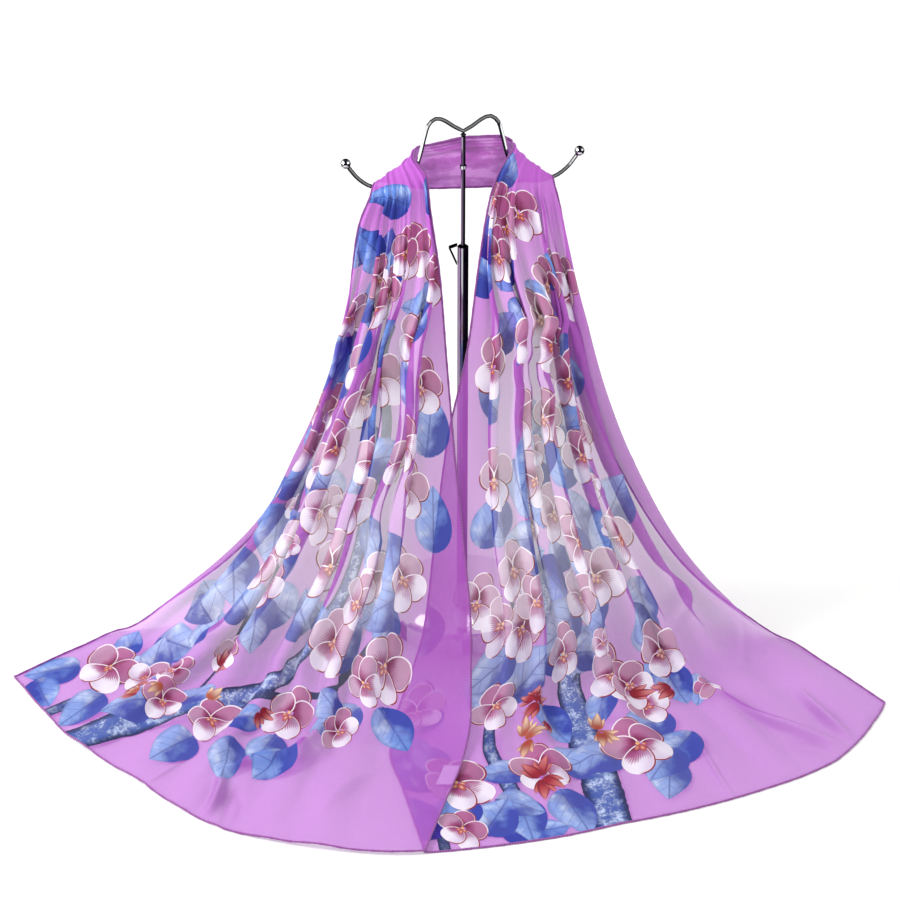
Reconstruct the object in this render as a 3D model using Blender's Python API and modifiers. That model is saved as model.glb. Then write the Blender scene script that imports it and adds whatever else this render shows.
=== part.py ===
"""A sheer scarf draped round the hanger of a chrome counter stand, with both ends fallen
forward and spread on the counter.

Run with: blender --background --python part.py
Units are metres, +Z is up and -Y is the front. The origin is the centre of the base's
underside. The scarf is one cut of cloth, 1.6 m by 0.5 m with a narrow rolled hem. Its
sections run across the cloth: each is a base curve from the inner edge to the outer edge,
with the rest of the cut's width taken up in soft folds that neither stretch nor cross.
"""

import math
from collections import namedtuple

import bmesh
import bpy
import numpy as np
from mathutils import Vector

# ---------------------------------------------------------------- driving dimensions

GAP = 0.0003                     # between neighbouring pieces

CUT_WIDTH = 0.500                # the cloth across, hem side to hem side
CLOTH_WALL = 0.0012
FOLD_TURN_MAX = 1.65             # steepest turn of a fold's flank, so that no two touch
FOLD_STEPS = 960                 # steps in which a section's arc is walked
BASE_CURVE_STEPS = 96
FOLD_PHASES = (0.0, 0.14, 0.32, 0.50, 0.68, 0.86)
MARGIN_COLUMNS = 2
STATION_NUDGE = 0.0020           # steps that measure which way the sheet faces
SHARE_NUDGE = 0.0015
OUTER_FOLDS_FROM = 0.80          # the share past which folds show at the outer edge
OUTER_INWARD = 0.55              # how far these hang inwards, as a share of their height
NAPE = -0.090                    # station at the middle of the scarf, behind the rod
SEAM = -0.047                    # station where the neck band meets each fall
SEAM_GAP = 0.0008                # in stations, which run closer at the cloth's inner edge
OVERLAP_LIFT = 0.0030            # the left fall lies this much above the right one
OVERLAP_FROM, OVERLAP_FULL = 0.40, 0.52
OVERLAP_WIDTH, OVERLAP_FADE = 0.22, 0.38

LABEL_WIDTH = 0.017
LABEL_WALL = 0.0008
LABEL_FROM, LABEL_TO = 0.552, 0.578

BASE_RADIUS = 0.075
BASE_HEIGHT = 0.022
BASE_EDGE = 0.006                # rounding of the base's upper edge
TUBE_RADIUS = 0.0050
TUBE_BORE = 0.0024
TUBE_TOP = 0.3950
ROD_RADIUS = 0.0020
ROD_BOTTOM = 0.300
ROD_TOP = 0.5012
RING_HEIGHT = 0.0030
RING_MIDDLE = 0.4720
RING_RADIUS = 0.0030
WIRE_RADIUS = 0.0019
HANGER_TURN = math.radians(8.0)  # the hanger is turned a little on its rod
HANGER_CENTRE_Z = 0.5060         # wire centre at the bottom of the middle V
HUB_RADIUS = 0.0027
BALL_RADIUS = 0.0045
CLIP_WIDTH = 0.0060
CLIP_WALL = 0.0008

# One half of the hanger wire, from the middle V out to the ball: distance out along the
# hanger, and height.
HangerPoint = namedtuple("HangerPoint", "out height")
HANGER_HALF = (
    HangerPoint(0.0000, HANGER_CENTRE_Z),
    HangerPoint(0.0080, 0.5105),
    HangerPoint(0.0165, 0.5166),
    HangerPoint(0.0240, 0.5190),
    HangerPoint(0.0310, 0.5130),
    HangerPoint(0.0348, 0.5000),
    HangerPoint(0.0390, 0.4830),
    HangerPoint(0.0450, 0.4660),
    HangerPoint(0.0530, 0.4572),
    HangerPoint(0.0630, 0.4545),
    HangerPoint(0.0740, 0.4558),
    HangerPoint(0.0845, 0.4592),
    HangerPoint(0.0940, 0.4668),
    HangerPoint(0.1010, 0.4762),
)
BALL_CENTRE = HangerPoint(0.1042, 0.4812)
HANGER_SAMPLES = 34              # wire points on each half

# The clip's bend line in the XZ plane: foot on the tube, knee, then the leg over the rim.
ClipPoint = namedtuple("ClipPoint", "x z")
CLIP_LINE = (
    ClipPoint(-(TUBE_RADIUS + GAP + CLIP_WALL / 2), 0.3775),
    ClipPoint(-0.0124, 0.3934),
    ClipPoint(-0.0052, TUBE_TOP + 0.0011),
)

# Sections of each fall, from the nape round the shoulder and down to the hem.
#   s                      station: distance along the cloth from the crest of the shoulder
#   inner_*, outer_*       where the two long edges of the cloth run
#   bow_in, bow_x, bow_y   how far the base curve bows between them, as shares of its chord
#   fullness               share of the spare width that shows as folds
#   margin                 share of the width left flat along the inner edge
#   rest                   1 where the cloth lies on the counter
Station = namedtuple(
    "Station",
    "s inner_x inner_y inner_z outer_x outer_y outer_z bow_in bow_x bow_y fullness margin rest",
)
REST_Z = CLOTH_WALL / 2
LEFT_STATIONS = (
    Station(NAPE, 0.0000, 0.0130, 0.4950, 0.0000, 0.0135, 0.4460, .33, .33, .67, .012, .02, 0),
    Station(-.060, -.0290, 0.0120, 0.4882, -.0320, 0.0140, 0.4450, .33, .33, .67, .016, .02, 0),
    Station(-.035, -.0412, 0.0095, 0.4862, -.0560, 0.0150, 0.4480, .33, .33, .67, .014, .02, 0),
    Station(0.000, -.0437, -.0050, 0.4822, -.0782, -.0100, 0.4608, .33, .33, .67, .032, .02, 0),
    Station(0.022, -.0325, -.0155, 0.4700, -.0830, -.0212, 0.4500, .33, .33, .67, .080, .02, 0),
    Station(0.050, -.0293, -.0193, 0.4410, -.0927, -.0195, 0.4230, .40, .27, .67, .22, .02, 0),
    Station(0.110, -.0205, -.0354, 0.3796, -.1034, -.0202, 0.3640, .47, .20, .67, .42, .03, 0),
    Station(0.180, -.0148, -.0553, 0.3090, -.1212, -.0213, 0.2965, .50, .17, .67, .60, .05, 0),
    Station(0.260, -.0078, -.0806, 0.2280, -.1461, -.0229, 0.2206, .53, .13, .67, .70, .08, 0),
    Station(0.340, 0.0005, -.1092, 0.1490, -.1787, -.0250, 0.1480, .55, .12, .67, .72, .11, 0),
    Station(0.420, 0.0075, -.1446, 0.0715, -.2276, -.0281, 0.0846, .55, .11, .67, .62, .14, .2),
    Station(0.490, 0.0070, -.1876, 0.0115, -.2793, -.0314, 0.0375, .53, .12, .64, .46, .16, .7),
    Station(0.550, -.0015, -.2480, REST_Z, -.3280, -.0344, 0.0030, .49, .13, .60, .34, .16, 1),
    Station(0.600, -.0153, -.3000, REST_Z, -.3674, -.0626, REST_Z, .50, .13, .44, .24, .15, 1),
    Station(0.670, -.0330, -.3700, REST_Z, -.4210, -.1108, REST_Z, .60, .14, .30, .10, .12, 1),
)
RIGHT_STATIONS = (
    Station(NAPE, 0.0000, 0.0130, 0.4950, 0.0000, 0.0135, 0.4460, .33, .33, .67, .012, .02, 0),
    Station(-.060, 0.0300, 0.0150, 0.4955, 0.0320, 0.0165, 0.4460, .33, .33, .67, .016, .02, 0),
    Station(-.035, 0.0430, 0.0165, 0.4900, 0.0560, 0.0220, 0.4490, .33, .33, .67, .016, .02, 0),
    Station(0.000, 0.0437, 0.0050, 0.4872, 0.0782, 0.0085, 0.4601, .33, .33, .67, .036, .02, 0),
    Station(0.022, 0.0330, -.0085, 0.4742, 0.0823, 0.0036, 0.4494, .33, .33, .67, .080, .02, 0),
    Station(0.050, 0.0245, -.0163, 0.4526, 0.0898, 0.0020, 0.4225, .40, .27, .67, .22, .02, 0),
    Station(0.110, 0.0140, -.0320, 0.3920, 0.1027, -.0005, 0.3640, .47, .20, .67, .42, .03, 0),
    Station(0.180, 0.0046, -.0518, 0.3210, 0.1161, -.0033, 0.2953, .50, .17, .67, .60, .05, 0),
    Station(0.260, -.0142, -.0763, 0.2350, 0.1406, -.0084, 0.2194, .53, .13, .67, .70, .08, 0),
    Station(0.340, -.0253, -.1043, 0.1510, 0.1748, -.0153, 0.1478, .55, .12, .67, .72, .11, 0),
    Station(0.420, -.0355, -.1383, 0.0740, 0.2164, -.0237, 0.0796, .54, .13, .67, .62, .15, .2),
    Station(0.490, -.0600, -.1790, 0.0080, 0.2639, -.0334, 0.0296, .50, .15, .65, .46, .18, .7),
    Station(0.550, -.0654, -.2300, REST_Z, 0.3100, -.0490, 0.0015, .47, .15, .62, .34, .18, 1),
    Station(0.600, -.0530, -.2820, REST_Z, 0.3420, -.0860, REST_Z, .38, .11, .57, .24, .17, 1),
    Station(0.680, -.0330, -.3690, REST_Z, 0.3905, -.1520, REST_Z, .25, .09, .60, .10, .14, 1),
)

# How far the hem runs out past its base curve, against the share of the cloth's width.
Sway = namedtuple("Sway", "share out")
LEFT_HEM = (
    Sway(0.00, 0.0000),
    Sway(0.06, 0.0024),
    Sway(0.14, 0.0030),
    Sway(0.25, 0.0044),
    Sway(0.35, 0.0069),
    Sway(0.40, 0.0052),
    Sway(0.47, 0.0011),
    Sway(0.56, -.0046),
    Sway(0.67, -.0025),
    Sway(0.77, 0.0022),
    Sway(0.88, 0.0013),
    Sway(1.00, 0.0000),
)
RIGHT_HEM = (
    Sway(0.00, 0.0000),
    Sway(0.08, -.0021),
    Sway(0.15, -.0027),
    Sway(0.25, -.0030),
    Sway(0.35, -.0051),
    Sway(0.46, -.0019),
    Sway(0.57, 0.0008),
    Sway(0.64, 0.0024),
    Sway(0.71, 0.0051),
    Sway(0.79, 0.0067),
    Sway(0.87, 0.0018),
    Sway(0.93, -.0013),
    Sway(1.00, 0.0000),
)
HEM_REACH = 0.09                 # length of cloth over which the hem's sway sets in

# The folds of each fall, inner edge first: share of the gathered width, the station at
# which the fold has sunk away, and how far it leans over (+ towards the outer edge).
Fold = namedtuple("Fold", "share ends lean")
LEFT_FOLDS = (
    Fold(0.135, 0.50, 0.10),
    Fold(0.105, 0.60, 0.25),
    Fold(0.095, 0.52, -0.20),
    Fold(0.115, 0.64, 0.20),
    Fold(0.170, 0.56, -0.10),
    Fold(0.150, 0.66, 0.25),
    Fold(0.130, 0.50, -0.15),
    Fold(0.100, 0.58, 0.20),
)
RIGHT_FOLDS = (
    Fold(0.085, 0.56, 0.20),
    Fold(0.125, 0.64, -0.15),
    Fold(0.110, 0.52, 0.25),
    Fold(0.140, 0.60, 0.10),
    Fold(0.125, 0.50, -0.20),
    Fold(0.110, 0.66, 0.20),
    Fold(0.130, 0.54, -0.10),
    Fold(0.175, 0.62, 0.15),
)
SHOULDER = -0.035                # station at the back of the shoulder
FOLD_FADE = 0.16                 # length over which a fold sinks away
FOLD_LEFT_OVER = 0.25            # what stays of it below that
FOLD_SPREAD = (0.0, 0.15)        # stations between which even folds take their own shares
CREST_TAPER_TO = 0.10            # above this station the outer folds are pressed flatter
CREST_PRESS = 0.45

FALL_ROWS = (
    -0.035, -0.022, -0.008, 0.004, 0.016, 0.030, 0.050, 0.078, 0.110, 0.145, 0.180, 0.220,
    0.260, 0.300, 0.340, 0.380, 0.420, 0.455, 0.490, 0.520, 0.550, 0.585, 0.625,
)
BAND_ROWS_PER_SIDE = 4

Side = namedtuple("Side", "stations folds hem outward lift")
LEFT = Side(LEFT_STATIONS, LEFT_FOLDS, LEFT_HEM, 1.0, OVERLAP_LIFT)
RIGHT = Side(RIGHT_STATIONS, RIGHT_FOLDS, RIGHT_HEM, -1.0, 0.0)


# ---------------------------------------------------------------- scene set-up


def clear_scene():
    for obj in list(bpy.data.objects):
        bpy.data.objects.remove(obj, do_unlink=True)


def new_collection(name):
    collection = bpy.data.collections.new(name)
    bpy.context.scene.collection.children.link(collection)
    return collection


def new_material(name, colour, roughness, metallic):
    material = bpy.data.materials.new(name)
    material.use_nodes = True
    shader = material.node_tree.nodes["Principled BSDF"]
    shader.inputs["Base Color"].default_value = (*colour, 1.0)
    shader.inputs["Roughness"].default_value = roughness
    shader.inputs["Metallic"].default_value = metallic
    material.diffuse_color = (*colour, 1.0)
    return material


def add_part(name, data, material_facts):
    """Link mesh or curve data as a named part with a material of its own."""
    obj = bpy.data.objects.new(name, data)
    PARTS.objects.link(obj)
    data.materials.append(new_material(name + "_finish", *material_facts))
    return obj


# ---------------------------------------------------------------- cloth sections


def smooth_step(low, high, value):
    t = np.clip((value - low) / (high - low), 0.0, 1.0)
    return t * t * (3.0 - 2.0 * t)


def station_at(stations, s):
    """A station between two rows, by a monotone cubic, so that nothing overshoots."""
    rows = np.array(stations, dtype=float)
    x, y = rows[:, 0], rows[:, 1:]
    step = np.diff(x)
    slope = np.diff(y, axis=0) / step[:, None]
    tangent = np.zeros_like(y)
    tangent[0], tangent[-1] = slope[0], slope[-1]
    before, after = slope[:-1], slope[1:]
    weight_1 = (2 * step[1:] + step[:-1])[:, None]
    weight_2 = (step[1:] + 2 * step[:-1])[:, None]
    same_way = before * after > 0
    safe_before = np.where(same_way, before, 1.0)
    safe_after = np.where(same_way, after, 1.0)
    mean = (weight_1 + weight_2) / (weight_1 / safe_before + weight_2 / safe_after)
    tangent[1:-1] = np.where(same_way, mean, 0.0)
    s = min(max(s, x[0]), x[-1])
    i = min(int(np.searchsorted(x, s, side="right")) - 1, len(x) - 2)
    t = (s - x[i]) / step[i]
    value = (
        (1 + 2 * t) * (1 - t) ** 2 * y[i]
        + t * (1 - t) ** 2 * step[i] * tangent[i]
        + t * t * (3 - 2 * t) * y[i + 1]
        + t * t * (t - 1) * step[i] * tangent[i + 1]
    )
    return Station(s, *value)


def base_curve(row):
    """Points of the base curve of a section, a cubic from the inner to the outer edge."""
    inner = np.array((row.inner_x, row.inner_y, row.inner_z))
    outer = np.array((row.outer_x, row.outer_y, row.outer_z))
    chord = outer - inner
    near = inner + np.array((row.bow_in * chord[0], 0.0, chord[2] / 3))
    far = outer - np.array((row.bow_x * chord[0], row.bow_y * chord[1], chord[2] / 3))
    t = np.linspace(0.0, 1.0, BASE_CURVE_STEPS + 1)[:, None]
    return (
        (1 - t) ** 3 * inner
        + 3 * (1 - t) ** 2 * t * near
        + 3 * (1 - t) * t * t * far
        + t ** 3 * outer
    )


def unit_rows(vectors):
    return vectors / np.linalg.norm(vectors, axis=1)[:, None]


def fold_edges(side, row):
    """Where each fold starts across the cloth, as shares of its width."""
    count = len(side.folds)
    own = np.array([fold.share for fold in side.folds])
    spread = smooth_step(*FOLD_SPREAD, row.s)
    share = own * spread + (1 - spread) / count
    starts = np.concatenate(([0.0], np.cumsum(share / share.sum())))
    return row.margin + (1 - row.margin) * starts, spread


def fold_strength(side, row):
    """How deep each fold is here, next to the others."""
    index = np.arange(len(side.folds))
    ends = np.array([fold.ends for fold in side.folds])
    sunk = smooth_step(ends - FOLD_FADE, ends + FOLD_FADE / 3, row.s)
    pressed = ((index + 0.5) / len(index)) ** 2 * (1 - smooth_step(0.0, CREST_TAPER_TO, row.s))
    pressed = pressed * smooth_step(NAPE, SHOULDER, row.s)
    return (1 - (1 - FOLD_LEFT_OVER) * sunk) * (1 - CREST_PRESS * pressed)


def fold_walk(side, row, width, length):
    """Walk a section's arc, turning to and fro, so that it covers just the base curve.

    Returns the share of the cloth's width, the distance along the base curve and the
    height over it for each step.
    """
    share = (np.arange(FOLD_STEPS) + 0.5) / FOLD_STEPS
    edges, spread = fold_edges(side, row)
    fold = np.clip(np.searchsorted(edges, share, side="right") - 1, 0, len(side.folds) - 1)
    phase = np.clip((share - edges[fold]) / (edges[fold + 1] - edges[fold]), 0.0, 1.0)
    lean = np.array([f.lean for f in side.folds])[fold] * spread
    phase = phase + lean * np.sin(2 * np.pi * phase) / (2 * np.pi)
    strength = np.where(share < row.margin, 0.0, fold_strength(side, row)[fold])
    swing = strength * np.sin(2 * np.pi * phase)
    length = min(length, width / np.cos(FOLD_TURN_MAX * swing).mean())
    low, high = 0.0, FOLD_TURN_MAX
    for _ in range(40):
        turn = (low + high) / 2
        if np.cos(turn * swing).mean() * length > width:
            low = turn
        else:
            high = turn
    step = length / FOLD_STEPS
    marks = np.linspace(0.0, 1.0, FOLD_STEPS + 1)
    reach = np.concatenate(([0.0], np.cumsum(np.cos(low * swing)))) * step
    height = np.concatenate(([0.0], np.cumsum(np.sin(low * swing)))) * step
    drift = np.interp(marks, np.concatenate(([0.0], edges)),
                      np.concatenate(([0.0], np.interp(edges, marks, height))))
    return marks, reach * width / reach[-1], height - drift


def hem_sway(side, s, shares):
    hem = side.stations[-1].s
    sway = np.interp(shares, [row.share for row in side.hem], [row.out for row in side.hem])
    return sway * smooth_step(hem - HEM_REACH, hem, s)


def column_shares(side, s):
    """The columns of a section, as shares of the cloth's width, closer at the bends."""
    row = station_at(side.stations, s)
    edges = fold_edges(side, row)[0]
    shares = list(np.linspace(0.0, row.margin, MARGIN_COLUMNS, endpoint=False))
    for start, end in zip(edges[:-1], edges[1:]):
        shares += [start + (end - start) * phase for phase in FOLD_PHASES]
    return np.array(shares + [1.0])


def section(side, s, shares):
    """Points of the cloth's middle surface across station s, at shares of its width."""
    s = min(max(s, side.stations[0].s), side.stations[-1].s)
    row = station_at(side.stations, s)
    curve = base_curve(row)
    along = base_curve(station_at(side.stations, s + STATION_NUDGE))
    along = along - base_curve(station_at(side.stations, s - STATION_NUDGE))
    across = np.gradient(curve, axis=0)
    normal = unit_rows(np.cross(across, along)) * side.outward
    travel = np.concatenate(([0.0], np.cumsum(np.linalg.norm(np.diff(curve, axis=0), axis=1))))
    width = travel[-1]
    curve = curve + unit_rows(along) * hem_sway(side, s, travel / width)[:, None]
    length = width + row.fullness * max(CUT_WIDTH - width, 0.0)
    marks, reach, height = fold_walk(side, row, width, length)
    # The outer folds hang inside the outer edge, and on the counter the valleys touch it.
    outer_height = height[marks > OUTER_FOLDS_FROM].max() * OUTER_INWARD
    inward = outer_height * smooth_step(0.35, 1.0, marks) * smooth_step(0.0, 0.08, s)
    height = height - inward * (1 - row.rest) - height.min() * row.rest
    lift = side.lift * smooth_step(OVERLAP_FROM, OVERLAP_FULL, s)
    lift = lift * (1 - smooth_step(OVERLAP_WIDTH, OVERLAP_FADE, shares))
    at = np.interp(shares, marks, reach)
    up = np.interp(shares, marks, height) + lift
    points = np.stack([np.interp(at, travel, curve[:, i]) for i in range(3)], axis=1)
    normals = unit_rows(np.stack([np.interp(at, travel, normal[:, i]) for i in range(3)], axis=1))
    return points + normals * up[:, None]


def sheet_row(side, s, shares):
    """A section's points, with the outward normals of the folded sheet there."""
    across = section(side, s, shares + SHARE_NUDGE) - section(side, s, shares - SHARE_NUDGE)
    along = section(side, s + STATION_NUDGE, shares) - section(side, s - STATION_NUDGE, shares)
    normals = unit_rows(np.cross(across, along)) * side.outward
    return section(side, s, shares), normals


def wall_mesh(name, middle, normals, thickness):
    """A closed wall round a sheet of points, half its thickness on either side."""
    mesh = bpy.data.meshes.new(name)
    bm = bmesh.new()
    outside = [[bm.verts.new(p) for p in row] for row in middle + normals * thickness / 2]
    inside = [[bm.verts.new(p) for p in row] for row in middle - normals * thickness / 2]
    for layer in (outside, inside):
        for upper, lower in zip(layer[:-1], layer[1:]):
            for i in range(len(upper) - 1):
                bm.faces.new((upper[i], lower[i], lower[i + 1], upper[i + 1]))
    for out_rim, in_rim in zip(rim_of(outside), rim_of(inside)):
        bm.faces.new((*out_rim, *reversed(in_rim)))
    bmesh.ops.recalc_face_normals(bm, faces=bm.faces)
    bm.to_mesh(mesh)
    bm.free()
    mesh.shade_smooth()
    return mesh


def rim_of(layer):
    """The border of a grid, as pairs of neighbouring vertices in order."""
    border = [*layer[0], *(row[-1] for row in layer[1:]), *layer[-1][-2::-1]]
    border += [row[0] for row in layer[-2:0:-1]]
    return list(zip(border, border[1:] + border[:1]))


def add_wall(name, rows, thickness, material_facts):
    """A wall through rows, each of points and normals."""
    middle, normals = np.array(rows).transpose(1, 0, 2, 3)
    return add_part(name, wall_mesh(name, middle, normals, thickness), material_facts)


# ---------------------------------------------------------------- cloth pieces

CLOTH_FINISH = ((0.70, 0.32, 0.74), 0.55, 0.0)
LABEL_FINISH = ((0.88, 0.82, 0.90), 0.60, 0.0)
CHROME_FINISH = ((0.80, 0.81, 0.83), 0.08, 1.0)
STEEL_FINISH = ((0.62, 0.63, 0.66), 0.20, 1.0)


def add_fall(name, side):
    """One hanging stretch, from behind the shoulder over the hanger and down to the hem."""
    stations = (SEAM + SEAM_GAP / 2, *FALL_ROWS, side.stations[-1].s)
    rows = [sheet_row(side, s, column_shares(side, s)) for s in stations]
    return add_wall(name, rows, CLOTH_WALL, CLOTH_FINISH)


def add_neck_band():
    """The gathered stretch behind the rod, between the two falls."""
    steps = np.linspace(SEAM - SEAM_GAP / 2, NAPE, BAND_ROWS_PER_SIDE + 1)
    rows = [sheet_row(LEFT, s, column_shares(LEFT, s)) for s in steps]
    rows += [sheet_row(RIGHT, s, column_shares(RIGHT, s)) for s in steps[-2::-1]]
    return add_wall("neck_band", rows, CLOTH_WALL, CLOTH_FINISH)


def add_label():
    """A bare label under the left fall, caught in its inner edge near the hem."""
    shares = np.linspace(0.0, LABEL_WIDTH / CUT_WIDTH, 3)
    below = CLOTH_WALL / 2 + GAP + LABEL_WALL / 2
    rows = []
    for s in np.linspace(LABEL_FROM, LABEL_TO, 4):
        points, normals = sheet_row(LEFT, s, shares)
        rows.append((points - normals * below, normals))
    return add_wall("label", rows, LABEL_WALL, LABEL_FINISH)


# ---------------------------------------------------------------- stand pieces


def add_turned(name, profile, steps, material_facts):
    """Turn a closed profile of (radius, height) points, outer side first, about Z."""
    mesh = bpy.data.meshes.new(name)
    points = [(radius, 0.0, height) for radius, height in profile]
    edges = [(i, (i + 1) % len(points)) for i in range(len(points))]
    if profile[0][0] == 0.0:
        edges.pop()
    mesh.from_pydata(points, edges, [])
    obj = add_part(name, mesh, material_facts)
    screw = obj.modifiers.new("Turn", "SCREW")
    screw.steps = screw.render_steps = steps
    screw.use_merge_vertices = True
    screw.merge_threshold = 1e-5
    return obj


def rounded_corner(centre_r, centre_z, radius, count=4):
    """Points of the quarter round from straight up to straight out, seen at +X."""
    angles = np.linspace(math.pi / 2, 0.0, count + 1)
    return [(centre_r + radius * math.cos(a), centre_z + radius * math.sin(a)) for a in angles]


def add_base():
    inner_r, inner_z = BASE_RADIUS - BASE_EDGE, BASE_HEIGHT - BASE_EDGE
    profile = [(0.0, BASE_HEIGHT), *rounded_corner(inner_r, inner_z, BASE_EDGE)]
    profile += [(BASE_RADIUS, 0.0012), (BASE_RADIUS - 0.0012, 0.0), (0.0, 0.0)]
    return add_turned("base_disc", profile, 48, CHROME_FINISH)


def add_tube():
    foot = BASE_HEIGHT + GAP
    chamfer = 0.0005
    profile = [
        (TUBE_BORE, TUBE_TOP),
        (TUBE_RADIUS - chamfer, TUBE_TOP),
        (TUBE_RADIUS, TUBE_TOP - chamfer),
        (TUBE_RADIUS, foot),
        (TUBE_BORE, foot),
    ]
    return add_turned("outer_tube", profile, 20, CHROME_FINISH)


def add_rod():
    profile = [
        (0.0, ROD_TOP),
        (ROD_RADIUS - 0.0004, ROD_TOP),
        (ROD_RADIUS, ROD_TOP - 0.0004),
        (ROD_RADIUS, ROD_BOTTOM),
        (0.0, ROD_BOTTOM),
    ]
    return add_turned("inner_rod", profile, 16, CHROME_FINISH)


def add_ring():
    top, bottom = RING_MIDDLE + RING_HEIGHT / 2, RING_MIDDLE - RING_HEIGHT / 2
    bore = ROD_RADIUS + GAP
    profile = [(bore, top), (RING_RADIUS, top), (RING_RADIUS, bottom), (bore, bottom)]
    return add_turned("rod_ring", profile, 20, STEEL_FINISH)


def add_hub():
    """The small bead between the rod's end and the middle of the hanger wire."""
    bottom = ROD_TOP + GAP
    top = HANGER_CENTRE_Z - WIRE_RADIUS - GAP
    middle = (bottom + top) / 2
    profile = [
        (0.0, top),
        (HUB_RADIUS * 0.6, top),
        (HUB_RADIUS, middle),
        (HUB_RADIUS * 0.6, bottom),
        (0.0, bottom),
    ]
    return add_turned("hanger_hub", profile, 16, STEEL_FINISH)


def smooth_path(points, count):
    """Points spread along a smooth curve that passes through the given ones."""
    p = np.array(points)
    p = np.vstack((2 * p[0] - p[1], p, 2 * p[-1] - p[-2]))
    fine = []
    for a, b, c, d in zip(p[:-3], p[1:-2], p[2:-1], p[3:]):
        for t in np.linspace(0.0, 1.0, 12, endpoint=False):
            fine.append(0.5 * (2 * b + (c - a) * t + (2 * a - 5 * b + 4 * c - d) * t * t
                               + (3 * b - a - 3 * c + d) * t ** 3))
    fine = np.array(fine + [p[-2]])
    travel = np.concatenate(([0.0], np.cumsum(np.linalg.norm(np.diff(fine, axis=0), axis=1))))
    at = np.linspace(0.0, travel[-1], count)
    return np.stack([np.interp(at, travel, fine[:, i]) for i in range(p.shape[1])], axis=1)


def hanger_place(sign, point):
    """A point of the hanger in the world: sign is -1 on the left arm and 1 on the right."""
    out, height = point
    return Vector((sign * out * math.cos(HANGER_TURN), sign * out * math.sin(HANGER_TURN), height))


def add_hanger():
    """One wire, bent to an M with a hook and a ball-ended arm at each side."""
    half = [tuple(point) for point in smooth_path(HANGER_HALF, HANGER_SAMPLES)]
    last = half[-1]
    away = Vector((last[0] - BALL_CENTRE.out, last[1] - BALL_CENTRE.height))
    end = Vector(BALL_CENTRE) + away.normalized() * (BALL_RADIUS + GAP)
    half[-1] = tuple(end)
    route = [hanger_place(-1, point) for point in reversed(half)]
    route += [hanger_place(1, point) for point in half[1:]]
    curve = bpy.data.curves.new("hanger_wire", "CURVE")
    curve.dimensions = "3D"
    curve.bevel_depth = WIRE_RADIUS
    curve.bevel_resolution = 2
    curve.use_fill_caps = True
    spline = curve.splines.new("POLY")
    spline.points.add(len(route) - 1)
    for slot, point in zip(spline.points, route):
        slot.co = (*point, 1.0)
    spline.use_smooth = True
    return add_part("hanger_wire", curve, CHROME_FINISH)


def add_ball(name, sign):
    mesh = bpy.data.meshes.new(name)
    bm = bmesh.new()
    bmesh.ops.create_uvsphere(bm, u_segments=16, v_segments=10, radius=BALL_RADIUS)
    bm.to_mesh(mesh)
    bm.free()
    mesh.shade_smooth()
    obj = add_part(name, mesh, CHROME_FINISH)
    obj.location = hanger_place(sign, BALL_CENTRE)
    return obj


def add_clip():
    """The spring clip that locks the rod: a bent strip, hinged where its foot meets the tube."""
    foot = CLIP_LINE[0]
    mesh = bpy.data.meshes.new("lock_clip")
    bm = bmesh.new()
    half = CLIP_WIDTH / 2
    rows = [
        [bm.verts.new((point.x - foot.x, y, point.z - foot.z)) for y in (-half, half)]
        for point in CLIP_LINE
    ]
    for (a, b), (c, d) in zip(rows[:-1], rows[1:]):
        bm.faces.new((a, c, d, b))
    bm.to_mesh(mesh)
    bm.free()
    obj = add_part("lock_clip", mesh, STEEL_FINISH)
    strip = obj.modifiers.new("Strip", "SOLIDIFY")
    strip.thickness = CLIP_WALL
    strip.offset = 0.0
    strip.use_even_offset = True
    obj.location = (foot.x, 0.0, foot.z)
    return obj


# ---------------------------------------------------------------- build


def build():
    add_base()
    add_tube()
    add_rod()
    add_ring()
    add_hub()
    add_hanger()
    add_ball("ball_left", -1)
    add_ball("ball_right", 1)
    add_clip()
    add_neck_band()
    add_fall("left_fall", LEFT)
    add_fall("right_fall", RIGHT)
    add_label()


clear_scene()
PARTS = new_collection("chiffon scarf on display stand")
build()
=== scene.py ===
"""The looks of a sheer printed scarf on its chrome counter stand, built round the frame.

Units are metres, +Z is up and -Y is the front. The three stretches of cloth are thin
sheets on the same sections as their solids, with finer gathers and creases.
Cloth coordinates are (share of the width from the inner edge, station s from the crest of
the shoulder to the hem); the print, the weave and the creases are all laid out in them.
"""

import math
from collections import namedtuple

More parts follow.
